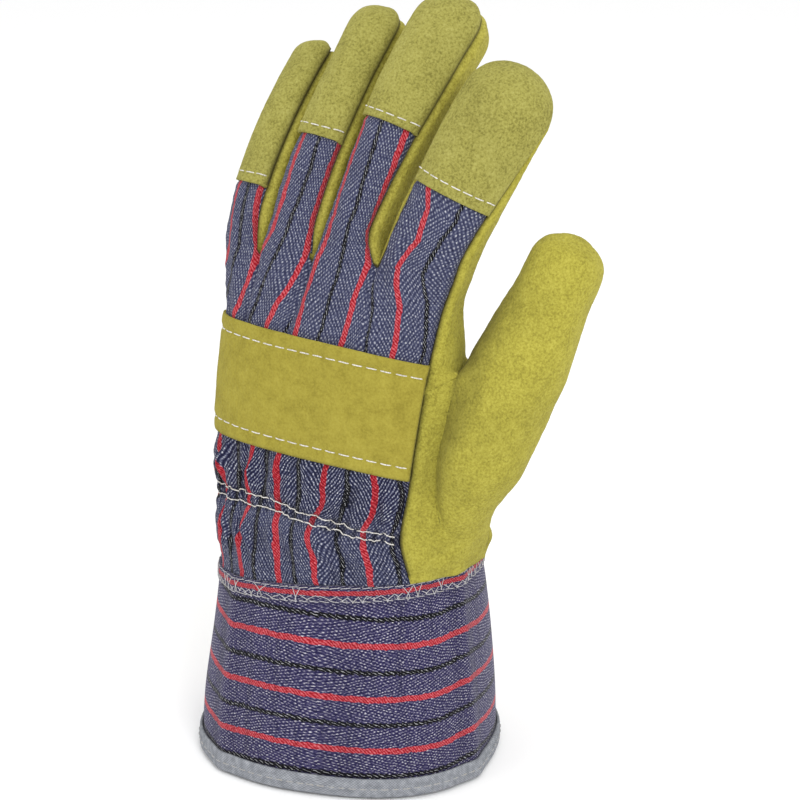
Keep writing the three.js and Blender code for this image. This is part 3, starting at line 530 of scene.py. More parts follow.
def makeTape(name):
    m = newMaterial(name)
    uv = add(m, "UVMap", uv_map="cloth")
    across, along, _ = add(m, "SeparateXYZ", [uv]).node.outputs
    turns = [add(m, "Math", [axis, 2 * math.pi / tapeLook["threadMm"]], **times) for axis in (across, along)]
    weave = add(m, "Math", [add(m, "Math", [turn], operation="SINE") for turn in turns], **times)
    soft = add(m, "TexNoise", {"Vector": uv, "Scale": 0.5, "Detail": 4.0})
    mixed = add(m, "Math", [weave, tapeLook["crossing"], soft], **timesPlus)
    tone = add(m, "ValToRGB", [mixed], stops=[(0.2, tapeLook["dark"]), (0.5, tapeLook["mid"]),
                                              (0.85, tapeLook["pale"])])
    bump = add(m, "Bump", {"Height": mixed, "Strength": 0.5, "Distance": tapeLook["bumpMm"] * mm})
    return finishMaterial(m, add(m, "BsdfPrincipled", {
        "Base Color": tone, "Roughness": 0.9, "Specular IOR Level": 0.3, "Normal": bump}))


# Spun polyester thread, twisted: off-white, a slight gloss on its turns.
threadLook = dict(dark="#A9A396", twistMm=0.5, bumpMm=0.1)


def makeThread(name, tone):
    m = newMaterial(name)
    place = add(m, "TexCoord", output="Object")
    twist = add(m, "TexNoise", {"Vector": place, "Scale": 1 / (threadLook["twistMm"] * mm), "Detail": 2.0})
    twisted = add(m, "ValToRGB", [twist], stops=[(0.3, threadLook["dark"]), (0.6, tone)])
    bump = add(m, "Bump", {"Height": twist, "Strength": 0.5, "Distance": threadLook["bumpMm"] * mm})
    return finishMaterial(m, add(m, "BsdfPrincipled", {
        "Base Color": twisted, "Roughness": 0.7, "Sheen Weight": 0.2, "Normal": bump}))


leather = {kind: makeSplitLeather("splitLeather" + kind.capitalize(), hide) for kind, hide in hides.items()}
# the same cloth on the back and, turned, on the cuff; the dots are drawn a little coarser than the
# real threads, which are too fine to show
cloth = dict(repeatMm=18.0, slope=1.35, ribMm=1.05, dotMm=0.95, dotShare=0.75, unevenMm=0.45, slubScale=1.2,
             slubShare=1.0, slubStretch=(1.0, 0.8, 1.0), weaveShare=0.5, blackMm=1.4, dashMm=1.35,
             fuzz=0.14, deep="#171932", navy="#393C56", mid="#5F6277", fleck="#C6C7CA")
cuffCloth = dict(repeatMm=17.8, slope=3.2, ribMm=0.95, dotMm=1.15, dotShare=0.6, unevenMm=0.8, slubScale=1.7,
                 slubShare=1.35, slubStretch=(1.3, 0.55, 1.0), weaveShare=0.5, blackMm=1.7, dashMm=1.9,
                 fuzz=0.24, deep="#0B0A26", navy="#26224A", mid="#524E6B", fleck="#CFCDD0")
backTwill = makeTwill("cottonTwillBack", cloth)
cuffTwill = makeTwill("cottonTwillCuff", cuffCloth)
tape = makeTape("cottonTapeBinding")
thread, lockThread, hemThread = [makeThread(name, tone) for name, tone in (
    ("polyesterThread", "#E3E0DA"), ("polyesterThreadPale", "#B9B8BF"), ("polyesterThreadGrey", "#9A9CA0"))]
print("materials made")


# building meshes from patches of the surface
def patch(rows, columns, place, flipped=False, **marks):
    # rows and columns are the parameter values; place gives the points; marks are values carried along
    r, c = np.meshgrid(rows, columns, indexing="ij")
    points = place(r, c)
    h, w = r.shape
    index = np.arange(h * w).reshape(h, w)
    quads = np.stack((index[:-1, :-1], index[:-1, 1:], index[1:, 1:], index[1:, :-1]), -1).reshape(-1, 4)
    if flipped:
        quads = quads[:, ::-1]
    values = {name: np.broadcast_to(mark(r, c), r.shape).ravel() for name, mark in marks.items()}
    return dict(points=points.reshape(-1, 3), quads=quads, values=values)


def join(patches):
    # one set of vertices; corners keep the values of their own patch
    points, quads, corner, start = [], [], {}, 0
    for p in patches:
        points.append(p["points"])
        quads.append(p["quads"] + start)
        for name, value in p["values"].items():
            corner.setdefault(name, []).append(value[p["quads"].ravel()])
        start += len(p["points"])
    points, quads = np.concatenate(points), np.concatenate(quads)
    keys = np.round(points * 50).astype(np.int64)
    _, first, inverse = np.unique(keys, axis=0, return_index=True, return_inverse=True)
    quads = inverse.ravel()[quads]
    corner = {name: np.concatenate(value) for name, value in corner.items()}
    distinct = (quads != np.roll(quads, 1, axis=1)).sum(1)
    keep = distinct >= 3
    corner = {name: value.reshape(-1, 4)[keep] for name, value in corner.items()}
    return dict(points=points[first], quads=quads[keep], corner=corner)


def vertexValue(skin, name):
    value = np.zeros(len(skin["points"]))
    value[skin["quads"].ravel()] = skin["corner"][name].ravel()
    return value


def normalsOf(skin):
    p, q = skin["points"], skin["quads"]
    face = np.cross(p[q[:, 2]] - p[q[:, 0]], p[q[:, 3]] - p[q[:, 1]])
    normal = np.zeros_like(p)
    for c in range(4):
        np.add.at(normal, q[:, c], face)
    return normal / np.maximum(np.linalg.norm(normal, axis=1, keepdims=True), 1e-12)


def openEdges(skin):
    q = skin["quads"]
    pairs = np.concatenate([np.stack((q[:, i], q[:, (i + 1) % 4]), 1) for i in range(4)])
    pairs = pairs[pairs[:, 0] != pairs[:, 1]]
    key = np.sort(pairs, axis=1)
    _, where, count = np.unique(key, axis=0, return_index=True, return_counts=True)
    return pairs[where[count == 1]]


def distanceTo(points, targets):
    if len(targets) == 0:
        return np.full(len(points), 1e3)   # nothing near
    tree = kdtree.KDTree(len(targets))
    for i, t in enumerate(targets):
        tree.insert(t, i)
    tree.balance()
    return np.array([tree.find(p)[2] for p in points])


def lumps(points, size, seed):
    shift = Vector((seed * 13.7, seed * 5.1, seed * 9.3))
    return np.array([noise.noise(Vector(p) / size + shift) for p in points])


def meshPiece(name, points, faces, material):
    mesh = bpy.data.meshes.new(name)
    mesh.from_pydata((points * mm).tolist(), [], faces)
    mesh.materials.append(material)
    mesh.polygons.foreach_set("use_smooth", [True] * len(mesh.polygons))
    mesh.update()
    piece = bpy.data.objects.new(name, mesh)
    bpy.context.collection.objects.link(piece)
    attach(piece, "root")
    return piece


def facesOf(skin):
    return [[quad[i] for i in range(4) if quad[i] != quad[i - 1]] for quad in skin["quads"].tolist()]


def buildMesh(name, skin, material, wall, replaced, slotName, uv=None, **marks):
    piece = meshPiece(name, skin["points"], facesOf(skin), material)
    if uv:
        kept = skin["quads"] != np.roll(skin["quads"], 1, axis=1)
        across, along = (skin["corner"][key][kept] for key in uv)
        layer = piece.data.uv_layers.new(name="cloth")
        layer.data.foreach_set("uv", np.stack((across, along), -1).astype(np.float32).ravel())
    for mark, value in marks.items():
        layer = piece.data.attributes.new(name=mark, type="FLOAT", domain="POINT")
        layer.data.foreach_set("value", np.clip(value, 0, 1).astype(np.float32))
    if wall:
        solid = piece.modifiers.new("wall", "SOLIDIFY")
        solid.thickness, solid.offset, solid.use_rim = wall * mm, -1.0, True
    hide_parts(*replaced)


def liftSkin(skin, lift):
    skin["points"] = skin["points"] + normalsOf(skin) * np.asarray(lift)[:, None]


def seamGroove(distance, depth, width):   # the edge rolls down into the seam and swells a little beside it
    return depth * (0.28 * near(distance - 2.4 * width, width) - near(distance, width))


grid = dict(step=0.85, tipRows=14, lowRows=86, highRows=40)   # mm between rows; rows below, above the thumb


def steps(length):
    return max(2, int(round(length / grid["step"])))


def lowRowsOf(angle, r):
    return lerp(wristHeight(angle), thumb["forkHeight"], r)


def marksAlong(marks, along):
    # marks go by place across and distance from the root, patches by row and column
    return {name: (lambda r, c, mark=mark: mark(c, along(r, c))) for name, mark in marks.items()}


def handPatches(face, k, columns, marks=None):
    # from the wrist seam to the root of finger k
    def lowAlong(r, c):
        return lowRowsOf(handAngle(face, k, c, seams["wristHeight"]), r) - rootHeight(face, k, c)

    def highAlong(r, c):
        root = rootHeight(face, k, c)
        return lerp(thumb["forkHeight"], root, r) - root

    made = []
    for rows, along in ((grid["lowRows"], lowAlong), (grid["highRows"], highAlong)):
        made.append(patch(spread(rows), spread(columns), lambda r, c: fingerSkin(face, k, c, along(r, c)),
                          flipped=face == "palm", **marksAlong(marks or {}, along)))
    return made


def digitRows(digit, start=0.0, stop=None):
    # even up to the dome of the tip, then closer towards its pole
    dome = domeStart(digit)
    if stop is not None:
        return spread(steps(stop - start), start, stop)
    even = spread(steps(dome - start), start, dome)
    turn = spread(grid["tipRows"], 0, math.pi / 2)[1:]
    return np.concatenate((even, dome + (digit["length"] - dome) * np.sin(turn)))


# back cloth
backCloth = dict(
    wall=1.0, columns=[36, 22, 24, 36], underCap=2.5, underCapDepth=0.45, seamDepth=0.9, seamWidth=1.2,
    seamShade=0.75, seamShadeReach=1.1, valleyDepth=1.1, valleyBelow=132, gatherFrom=90, gatherTo=122,
    gatherBelow=0.35, wrinkle=0.5, crumple=0.3, ripple=0.28, soilAndShade=0.3, fadeIn=14, foldDepth=0.9,
    redRidge=0.9, puff=0.9, puffAbove=8, puffBelow=10, puffReach=6.5,
    folds=[(10.5, 0.6, 1.0), (17, 1.9, 0.55)],   # how many across the back, phase, share of the depth
    puckerDepth=0.35, puckers=31, puckerReach=3.2, elasticDepth=0.9, elasticReach=1.3,
    forkCrease=1.0, creases=[(0.329, -0.03), (0.493, 0.005), (0.678, 0.03)])   # place, drift further down
# Where the red and black lines run on each finger, as shares of its width, by distance s from its
# root. Each list is one line, neighbours in order; first is the number of the first, even ones are red.
fingerLines = [
    dict(first=0, s=[-22, -13, -5, 1, 7, 16], lines=[
        [-0.35, -0.05, 0.2, 0.38, 0.42, 0.36], [0.10, 0.34, 0.54, 0.66, 0.68, 0.64],
        [0.62, 0.79, 0.93, 0.97, 0.95, 0.89], [1.0, 1.2, 1.35, 1.45, 1.45, 1.35]]),
    dict(first=2, s=[-19, -8, -1, 6, 16, 27, 35], lines=[
        [-0.35, -0.12, 0.10, 0.33, 0.38, 0.32, 0.30], [0.10, 0.29, 0.47, 0.59, 0.65, 0.66, 0.62],
        [0.56, 0.79, 0.88, 0.94, 0.96, 0.95, 0.95], [1.0, 1.2, 1.3, 1.35, 1.35, 1.35, 1.35]]),
    dict(first=6, s=[-22, -10, -2, 7, 17, 32, 44], lines=[
        [0.18, 0.12, 0.19, 0.25, 0.24, 0.21, 0.18], [0.44, 0.46, 0.52, 0.61, 0.64, 0.56, 0.50],
        [0.76, 0.79, 0.88, 0.96, 0.97, 0.90, 0.83], [1.1, 1.2, 1.3, 1.35, 1.35, 1.3, 1.3]]),
    dict(first=9, s=[-25, -11.5, -5.5, 0, 9, 18, 24], lines=[
        [0.11, 0.08, 0.0, -0.1, 0.1, 0.1, 0.0], [0.43, 0.41, 0.34, 0.32, 0.47, 0.42, 0.31],
        [0.84, 0.74, 0.65, 0.60, 0.66, 0.70, 0.67], [1.25, 1.2, 1.1, 1.05, 1.1, 1.1, 1.1]]),
]
# the same below the strap, as shares of the whole back by height, from the little finger on
wristLines = {
    "z": [73, 79, 85, 91, 97, 103, 109],
    "red1": [0.19, 0.22, 0.24, 0.28, 0.29, 0.25, 0.21],
    "black1": [0.30, 0.32, 0.35, 0.37, 0.385, 0.39, 0.37],
    "red2": [0.38, 0.39, 0.43, 0.465, 0.465, 0.455, 0.46],
    "black2": [0.455, 0.48, 0.505, 0.52, 0.53, 0.535, 0.52],
    "red3": [0.57, 0.59, 0.60, 0.60, 0.59, 0.58, 0.57],
    "black3": [0.63, 0.645, 0.66, 0.67, 0.67, 0.65, 0.63],
    "red4": [0.69, 0.71, 0.71, 0.72, 0.72, 0.70, 0.69],
    "black4": [0.75, 0.77, 0.77, 0.775, 0.775, 0.77, 0.755],
    "red5": [0.845, 0.86, 0.86, 0.86, 0.875, 0.87, 0.85],
    "black5": [0.955, 0.97, 0.965, 0.97, 0.98, 0.98, 0.95],
}
weaveDrift = 0.8   # the weave's own unevenness moves each line by this much
elasticRows = dict(share=[0.0, 0.21, 0.52, 0.64, 0.78, 0.97, 1.0],
                   upper=[93.5, 94.5, 96.2, 94.6, 91.2, 89.2, 89.0],
                   lower=[89.5, 91.0, 92.6, 91.8, 88.6, 87.0, 86.8])


def lineNumber(places, share):
    # counts the lines from the first place on, evenly between neighbours
    number = np.zeros_like(share) + (share - places[0]) / (places[1] - places[0])
    for i in range(1, len(places) - 1):
        beyond = i + (share - places[i]) / (places[i + 1] - places[i])
        number = np.where(share > places[i], beyond, number)
    return number


def linesOnFinger(k, share, s):
    table = fingerLines[k]
    places = [np.interp(s, table["s"], line) for line in table["lines"]]
    return (table["first"] + lineNumber(places, share)) * cloth["repeatMm"] / 2


def linesAtWrist(share, z):
    places = [column(wristLines, name, z) for name in wristLines if name != "z"]
    return lineNumber(places, share) * cloth["repeatMm"] / 2


def backMarks(k):
    shares = seams["backShares"]

    def across(c, s):
        z = rootHeight("back", k, c) + s
        whole = lerp(shares[k], shares[k + 1], c)
        return np.where(z < 128, linesAtWrist(whole, z), linesOnFinger(k, c, s)) - weaveDrift

    def halfScale(c, s):
        step = 0.01
        apart = fingerSkin("back", k, c + step, s) - fingerSkin("back", k, c - step, s)
        flat = np.maximum(across(c + step, s) - across(c - step, s), 0.05)
        return 0.5 * np.linalg.norm(apart, axis=-1) / flat

    return dict(u=across, halfScale=halfScale, v=lambda c, s: rootHeight("back", k, c) + s + 0 * c,
                whole=lambda c, s: lerp(shares[k], shares[k + 1], c) + 0 * s, s=lambda c, s: s + 0 * c)


def backFolds(share, z, s, u, points):
    look = backCloth
    above = [z - np.interp(share, elasticRows["share"], elasticRows[row]) for row in ("upper", "lower")]
    inside = np.clip(np.minimum(share, 1 - share) * look["fadeIn"], 0, 1)
    bend = share + 0.012 * np.sin(z * 0.16 + share * 17) + 0.008 * np.sin(z * 0.37 + 2)
    puff = near(above[0] - look["puffAbove"], look["puffReach"])
    puff = puff + 0.9 * near(above[1] + look["puffBelow"], look["puffReach"])
    folds = sum(part * np.cos(2 * np.pi * count * bend + phase) for count, phase, part in look["folds"])
    lift = look["foldDepth"] * folds * puff * inside
    # the cloth is pleated so that its red lines stand out and its black ones lie in the valleys
    lift += look["redRidge"] * np.cos(2 * np.pi * (u + weaveDrift) / cloth["repeatMm"]) * puff * inside
    atRows = sum(near(away, look["puckerReach"]) for away in above)
    lift += look["puckerDepth"] * np.cos(2 * np.pi * look["puckers"] * bend) * atRows * inside
    lift -= look["elasticDepth"] * sum(near(away, look["elasticReach"]) for away in above)
    lift += look["puff"] * puff * inside
    # creases that run down from the forks between the fingers to the strap
    onHand = smooth((z - 126) / 12) * smooth((4 - s) / 8)
    for line, drift in look["creases"]:
        place = line + drift * smooth((172 - z) / 26)
        crease = 0.35 * near(share - place - 0.03, 0.018) - near(share - place, 0.011)
        lift += look["forkCrease"] * onHand * crease
    ripple = np.cos(2 * np.pi * (8.3 * share + 0.02 * (z - 150)) + 1.0)
    lift += look["ripple"] * ripple * smooth((z - 128) / 14) * smooth((30 - s) / 30) * inside
    lift += look["wrinkle"] * lumps(points * np.array([1.0, 1.0, 0.45]), 6.5, 1) * smooth((z - 60) / 20)
    lift += look["crumple"] * lumps(points * np.array([0.7, 0.7, 1.5]), 3.0, 2)
    return lift


def makeBackCloth():
    look = backCloth
    patches = []
    for k, finger in enumerate(fingers):
        marks = backMarks(k)
        patches += handPatches("back", k, look["columns"][k], marks=marks)
        rows = digitRows(finger, 0.0, finger["cap"] + look["underCap"])
        patches.append(patch(rows, spread(look["columns"][k]), lambda r, c: fingerSkin("back", k, c, r),
                             **marksAlong(marks, lambda r, c: r)))
    skin = join(patches)
    share, s, z, u = (vertexValue(skin, name) for name in ("whole", "s", "v", "u"))
    ends = skin["points"][np.unique(openEdges(skin))]
    sides = ends[ends[:, 2] > seams["coveredBelow"]]
    lift = backFolds(share, z, s, u, skin["points"])
    lift += seamGroove(distanceTo(skin["points"], sides), look["seamDepth"], look["seamWidth"])
    underCap = np.zeros_like(s)
    for finger, low, high in zip(fingers, seams["backShares"], seams["backShares"][1:]):
        own = (share > low) & (share < high)
        underCap = np.where(own, smooth((s - finger["cap"] + 1.5) / 1.5), underCap)
    liftSkin(skin, lift - look["underCapDepth"] * underCap)
    nearSeam = near(distanceTo(skin["points"], sides), look["seamShadeReach"])
    # painted shade in the valleys of the folds
    valley = np.clip(-backFolds(share, z, s, u, skin["points"]) / look["valleyDepth"], 0, 1)
    valley = valley * smooth((look["valleyBelow"] - z) / 10)
    soiledAndShaded = look["soilAndShade"] * np.clip(lumps(skin["points"], 7, 11) + 0.3 * lumps(skin["points"], 3, 12), 0, 1)
    gather = smooth((z - look["gatherFrom"]) / 6) * smooth((look["gatherTo"] - z) / 8)
    gather = gather + look["gatherBelow"] * smooth((look["gatherFrom"] + 2 - z) / 8)
    buildMesh("backTwill", skin, backTwill, look["wall"], ["back_cloth"], "striped_twill", ("u", "v"),
              shade=look["seamShade"] * nearSeam + valley + soiledAndShaded, gather=gather,
              halfScale=vertexValue(skin, "halfScale"))
    return skin


backSurface = makeBackCloth()
print("back cloth", len(backSurface["quads"]))


# leather pieces on the same skin
leatherLook = dict(wall=1.4, lift=0.25, capLift=0.95, forkWall=1.0, seamDepth=1.0, seamWidth=1.3,
                   sag=0.5, dimple=0.22, grain=0.14, crumple=0.9, crumpleReach=16, soilAndShade=1.0, soilAndShadeReach=0.75,
                   dusk=0.1, forkDusk=0.85, forkDuskReach=28, forkMiddle=0.42, hiddenTo=0.38, hiddenReach=1.2)
# how many quads wide each part of the leather is
leatherColumns = dict(cap=36, front=28, palm=28, littleSide=12, indexSide=(8, 14, 8), besideThumb=6,
                      behindThumb=14, thumbBack=64, thumbFront=34, thumbFork=11, strip=24)


def leatherRelief(points, strength=1.0):
    look = leatherLook
    return strength * (look["sag"] * lumps(points, 17, 3) + look["dimple"] * lumps(points, 6.5, 4)
                       + look["grain"] * lumps(points, 2.2, 5))


def palmDusk(points, normals):   # the leather is a little darker towards the cuff
    return leatherLook["dusk"] * smooth((165 - points[:, 2]) / 50)


def makeLeather(name, patches, node, kind="hand", wall=leatherLook["wall"], lift=leatherLook["lift"],
                relief=1.0, ignore=None, dusk=palmDusk):
    skin = join(patches)
    ends = skin["points"][np.unique(openEdges(skin))]
    if ignore is not None:
        ends = ends[~ignore(ends)]
    look = leatherLook
    uneven = leatherRelief(skin["points"], relief)
    # the leather is drawn in and crumpled a little just above the cuff
    low = smooth((95 - skin["points"][:, 2]) / look["crumpleReach"])
    uneven += look["crumple"] * lumps(skin["points"], 5.5, 6) * low
    far = distanceTo(skin["points"], ends)
    liftSkin(skin, lift + uneven + seamGroove(far, look["seamDepth"], look["seamWidth"]))
    # soil and painted shade along the seams, and painted shade in the hollows of the relief
    shade = look["soilAndShade"] * near(far, look["soilAndShadeReach"]) + 0.2 * np.clip(-uneven / 0.6, 0, 1)
    shade = shade + dusk(skin["points"], normalsOf(skin))
    buildMesh(name, skin, leather[kind], wall, [node], "split_leather", shade=shade)
    return skin


leatherSkins = {}
for k, finger in enumerate(fingers):
    capPatch = patch(digitRows(finger, finger["cap"]), spread(leatherColumns["cap"]),
                     lambda r, c: fingerSkin("back", k, c, r))
    edge = fingerSkin("back", k, np.linspace(0, 1, 60), finger["cap"])
    name = finger["name"] + "_cap"
    leatherSkins[name] = makeLeather(
        finger["name"] + "Fingertip", [capPatch], name, "tip", lift=leatherLook["capLift"], relief=0.6,
        ignore=lambda ends: distanceTo(ends, edge) < 0.6)   # no groove along its lower edge
print("fingertips")


def frontPatches(k):
    return [patch(digitRows(fingers[k]), spread(leatherColumns["front"]),
                  lambda r, c: fingerSkin("palm", k, c, r), flipped=True)]


for k, name in ((1, "ring_front"), (2, "middle_front")):
    leatherSkins[name] = makeLeather(fingers[k]["name"] + "Front", frontPatches(k), name)

outside, web, inside = leatherColumns["indexSide"]
indexShare = np.concatenate((spread(outside, 0, forkFrom)[:-1], spread(web, forkFrom, forkTo)[:-1],
                             spread(inside, forkTo, 1)))
littleShare = spread(leatherColumns["littleSide"])
low, high = spread(grid["lowRows"]), spread(grid["highRows"])
# the leather runs on past this line, which shows as a crease only close to the thumb's fork
hiddenCrease = np.array([forkRow(np.array([t]))[0] for t in spread(35, 0, leatherLook["hiddenTo"])])


def palmIgnores(ends):
    hidden = distanceTo(ends, hiddenCrease) < leatherLook["hiddenReach"]
    return (ends[:, 2] < seams["coveredBelow"]) | hidden


def angleAtSeam(name):
    return column(handSections, name, seams["wristHeight"])


def upToRoot(k, r, c):   # rows from the thumb's fork to the root of finger k, as distances from the root
    return lerp(thumb["forkHeight"], sideRoot(k, c), r) - sideRoot(k, c)


palmPatches = sum((handPatches("palm", k, leatherColumns["palm"]) for k in range(4)), [])
palmPatches += frontPatches(0) + frontPatches(3) + [
    patch(low, littleShare, lambda r, c: sideSkin(
        0, c, lowRowsOf(lerp(seams["ulnar"], ulnarPalmEdge, c), r) - sideRoot(0, c)), flipped=True),
    patch(high, littleShare, lambda r, c: sideSkin(0, c, upToRoot(0, r, c)), flipped=True),
    patch(digitRows(fingers[0]), littleShare, lambda r, c: sideSkin(0, c, r), flipped=True),
    patch(high, indexShare, lambda r, c: radialSkin(c, upToRoot(3, r, c))),
    patch(digitRows(fingers[3]), indexShare, lambda r, c: radialSkin(c, r)),
    patch(low, spread(leatherColumns["besideThumb"]), lambda r, c: besideThumb(
        "palm", c, lowRowsOf(lerp(angleAtSeam("thumbTo"), seams["palmEdge"], c), r)))]
leatherSkins["palm"] = makeLeather("palmLeather", palmPatches, "palm", ignore=palmIgnores)
print("palm", len(leatherSkins["palm"]["quads"]))

thumbSeamShare = (thumb["seam"] - thumb["backCorner"]) / (thumb["palmCorner"] - thumb["backCorner"])


def thumbPatches(start, stop, columns, forkStart, forkStop):
    # the round of the thumb down to the wrist seam and its side in the fork
    share, rows = spread(columns, start, stop), digitRows(thumb)
    return [patch(low, share, lambda r, c: thumbSkin(c, thumbBelow(lowRowsOf(
                lerp(angleAtSeam("thumbFrom"), angleAtSeam("thumbTo"), c), r)))),
            patch(rows, share, lambda r, c: thumbSkin(c, r)),
            patch(rows, spread(leatherColumns["thumbFork"], forkStart, forkStop),
                  lambda r, c: thumbForkSkin(c, r), flipped=True)]


backOfThumb = thumbPatches(0, thumbSeamShare, leatherColumns["thumbBack"], 0, 0.5)
backOfThumb.insert(2, patch(low, spread(leatherColumns["behindThumb"]), lambda r, c: besideThumb(
    "back", c, lowRowsOf(lerp(angleAtSeam("seam"), angleAtSeam("thumbFrom"), c), r))))
frontOfThumb = thumbPatches(thumbSeamShare, 1, leatherColumns["thumbFront"], 0.5, 1)


def forkDusk(points, normals):
    # the side of the thumb that faces the hand is in its own shadow, deepest in the fork
    away = distanceTo(points, [forkRow(np.array([leatherLook["forkMiddle"]]))[0]])
    facing = np.clip(-1.4 * normals[:, 0], 0, 1) * near(away, leatherLook["forkDuskReach"])
    return palmDusk(points, normals) + leatherLook["forkDusk"] * facing


leatherSkins["thumb_back"] = makeLeather("thumbBackLeather", backOfThumb, "thumb_back", ignore=palmIgnores,
                                         dusk=forkDusk)
leatherSkins["thumb_front"] = makeLeather("thumbFrontLeather", frontOfThumb, "thumb_front",
                                          ignore=lambda ends: ends[:, 2] < seams["coveredBelow"])
print("thumb")

for k, name in enumerate(("fourchette_little_ring", "fourchette_ring_middle", "fourchette_middle_index")):
    walls = [patch(digitRows(fingers[k + n]), spread(leatherColumns["strip"]),
                   lambda r, c: forkSkin(k + n, n == 0, c, r), flipped=n == 1) for n in (0, 1)]
    leatherSkins[name] = makeLeather("sideStrip" + str(k + 1), walls, name, "strip", lift=0.0, relief=0.5,
                                     wall=leatherLook["forkWall"])
print("side strips")


# strap across the knuckles
strap = dict(
    low=108.5, high=146.5, lowRise=1.8, highRise=3.0, bow=3.0, insetOuter=0.012, insetThumb=0.001,
    gap=0.5, wall=1.3, columns=150, rows=60, relief=0.7, rowFromEdge=4.3, rowDepth=0.45, rowReach=0.9,
    edgeDepth=0.35, edgeReach=0.7, edgeShade=0.35,
    outerDepth=0.9, outerReach=0.02, thumbDepth=0.7, thumbReach=0.008, thumbShade=0.75)   # at its two ends


def strapHeight(share, t):
    low = strap["low"] + strap["lowRise"] * (1 - share)
    high = strap["high"] + strap["highRise"] * (1 - share)
    return lerp(low, high, t) + strap["bow"] * np.sin(np.pi * share)


def makeStrap():
    look = strap
    columns = spread(look["columns"], look["insetOuter"], 1 - look["insetThumb"])
    skin = join([patch(spread(look["rows"]), columns, lambda r, c: backSkin(c, strapHeight(c, r)),
                       t=lambda r, c: r, share=lambda r, c: c)])
    t, share = vertexValue(skin, "t"), vertexValue(skin, "share")
    height = look["high"] - look["low"]
    fromEdge = np.minimum(t, 1 - t) * height
    lift = look["gap"] + look["wall"] + leatherRelief(skin["points"], look["relief"])
    lift = lift - look["rowDepth"] * near(fromEdge - look["rowFromEdge"], look["rowReach"])
    lift = lift - look["edgeDepth"] * near(fromEdge, look["edgeReach"])
    lift = lift - look["outerDepth"] * near(share, look["outerReach"])
    liftSkin(skin, lift - look["thumbDepth"] * near(1 - share, look["thumbReach"]))
    shade = look["edgeShade"] * near(t * height, 0.5) + look["thumbShade"] * near(1 - share, 0.006)
    buildMesh("knuckleStrap", skin, leather["strap"], look["wall"], ["knuckle_strap"], "split_leather",
              shade=shade)
    return skin


strapSurface = makeStrap()
print("strap")


# cuff, its binding and the overlocked band
cuff = dict(
    wall=1.6, gap=0.3, columns=300, rows=83, wave=0.35, bandShadow=0.25, bandShadowBelow=6.2,
    creases=[(-42, 1.0, -1.0), (70, 1.3, 1.6)],   # angle, height, how far the stripes step there
    creaseWidth=6, besideDepth=0.45, besideWidth=30, stepWidth=13, creaseShade=0.22, lineShade=0.6,
    cloudShade=0.35)
# the binding's heights over the mouth of the cuff, from its sewn edge down to the fold
hem = dict(height=7.0, shoulder=6.2, middle=3.5, fold=1.6, wall=1.0, swell=0.15, mouth=2.2, stitchHeight=3.7)
# the band's outline: height over the top of the cuff, lift off it, place in the striped cloth
band = dict(height=[-5.5, -5.3, -4.0, -2.4, -1.0, -0.2, 0.2, -5.5],
            lift=[0.05, 0.35, 0.6, 0.75, 0.7, 0.4, -0.5, 0.05],
            across=[-5.1, -4.8, -3.3, -1.4, 0.4, 1.4, 2.2, 7], shade=0.35)


def creasesNear(angle):
    return [((angle - centre + 180) % 360 - 180, height, step) for centre, height, step in cuff["creases"]]


def cuffTop(angle):
    across = sectionPoint(cuffSections, angle, seams["wristHeight"])[..., 0]
    return seams["wristHeight"] + seams["wristSlope"] * across


def cuffPoint(angle, z, offset):
    before, after = sectionPoint(cuffSections, angle - 1, z), sectionPoint(cuffSections, angle + 1, z)
    out = np.stack((after[..., 1] - before[..., 1], before[..., 0] - after[..., 0], 0 * z), -1)
    out /= np.linalg.norm(out, axis=-1, keepdims=True)
    lift = offset
    for apart, height, _ in creasesNear(angle):
        lift = lift + height * near(apart, cuff["creaseWidth"])
        lift = lift - cuff["besideDepth"] * near(apart, cuff["besideWidth"])
    inside = smooth((z + 4) / 20) * smooth((74 - z) / 14)
    lift = lift + cuff["wave"] * np.sin(np.radians(angle) * 3 + z * 0.03) * inside
    return sectionPoint(cuffSections, angle, z) + out * np.asarray(lift)[..., None]


def stripeDrift(angle):
    # the stripes step up or down a little where the cuff is creased
    drift = 0 * angle
    for apart, _, step in creasesNear(angle):
        drift = drift + step * near(apart, cuff["stepWidth"])
    return drift


angles = spread(cuff["columns"], 0, 360)
roundCuff = column(cuffSections, "halfWidth", 35) * 2 * math.pi * 0.93 / 360   # mm of cloth to a degree


def makeCuff():
    foot = hem["wall"] + cuff["gap"]

    def height(r, c):
        return lerp(foot, cuffTop(c) - 0.5, r)

    skin = join([patch(spread(cuff["rows"]), angles, lambda r, c: cuffPoint(c, height(r, c), 0 * r),
                       u=lambda r, c: height(r, c) - stripeDrift(c), v=lambda r, c: c * roundCuff,
                       angle=lambda r, c: c + 0 * r, low=height)])
    angle, low = vertexValue(skin, "angle"), vertexValue(skin, "low")
    shade = cuff["bandShadow"] * near(cuffTop(angle) - low - cuff["bandShadowBelow"], 1.0)
    for apart, _, _ in creasesNear(angle):
        shade = shade + cuff["creaseShade"] * near(np.abs(apart) - 7, 3.5)
    # painted shade in faint upright lines where the stiff cuff has been pressed flat, and in soft clouds
    turn = np.radians(angle)
    around = np.stack((9 * np.cos(turn), 9 * np.sin(turn), 0.01 * low), -1)
    shade = shade + cuff["lineShade"] * np.clip(lumps(around, 0.4, 8) - 0.1, 0, 1)
    shade = shade + cuff["cloudShade"] * np.clip(lumps(around, 1.8, 9), 0, 1)
    buildMesh("cuffTwill", skin, cuffTwill, cuff["wall"], ["cuff"], "striped_twill", ("u", "v"),
              shade=shade, halfScale=0.5 + 0 * shade)


makeCuff()


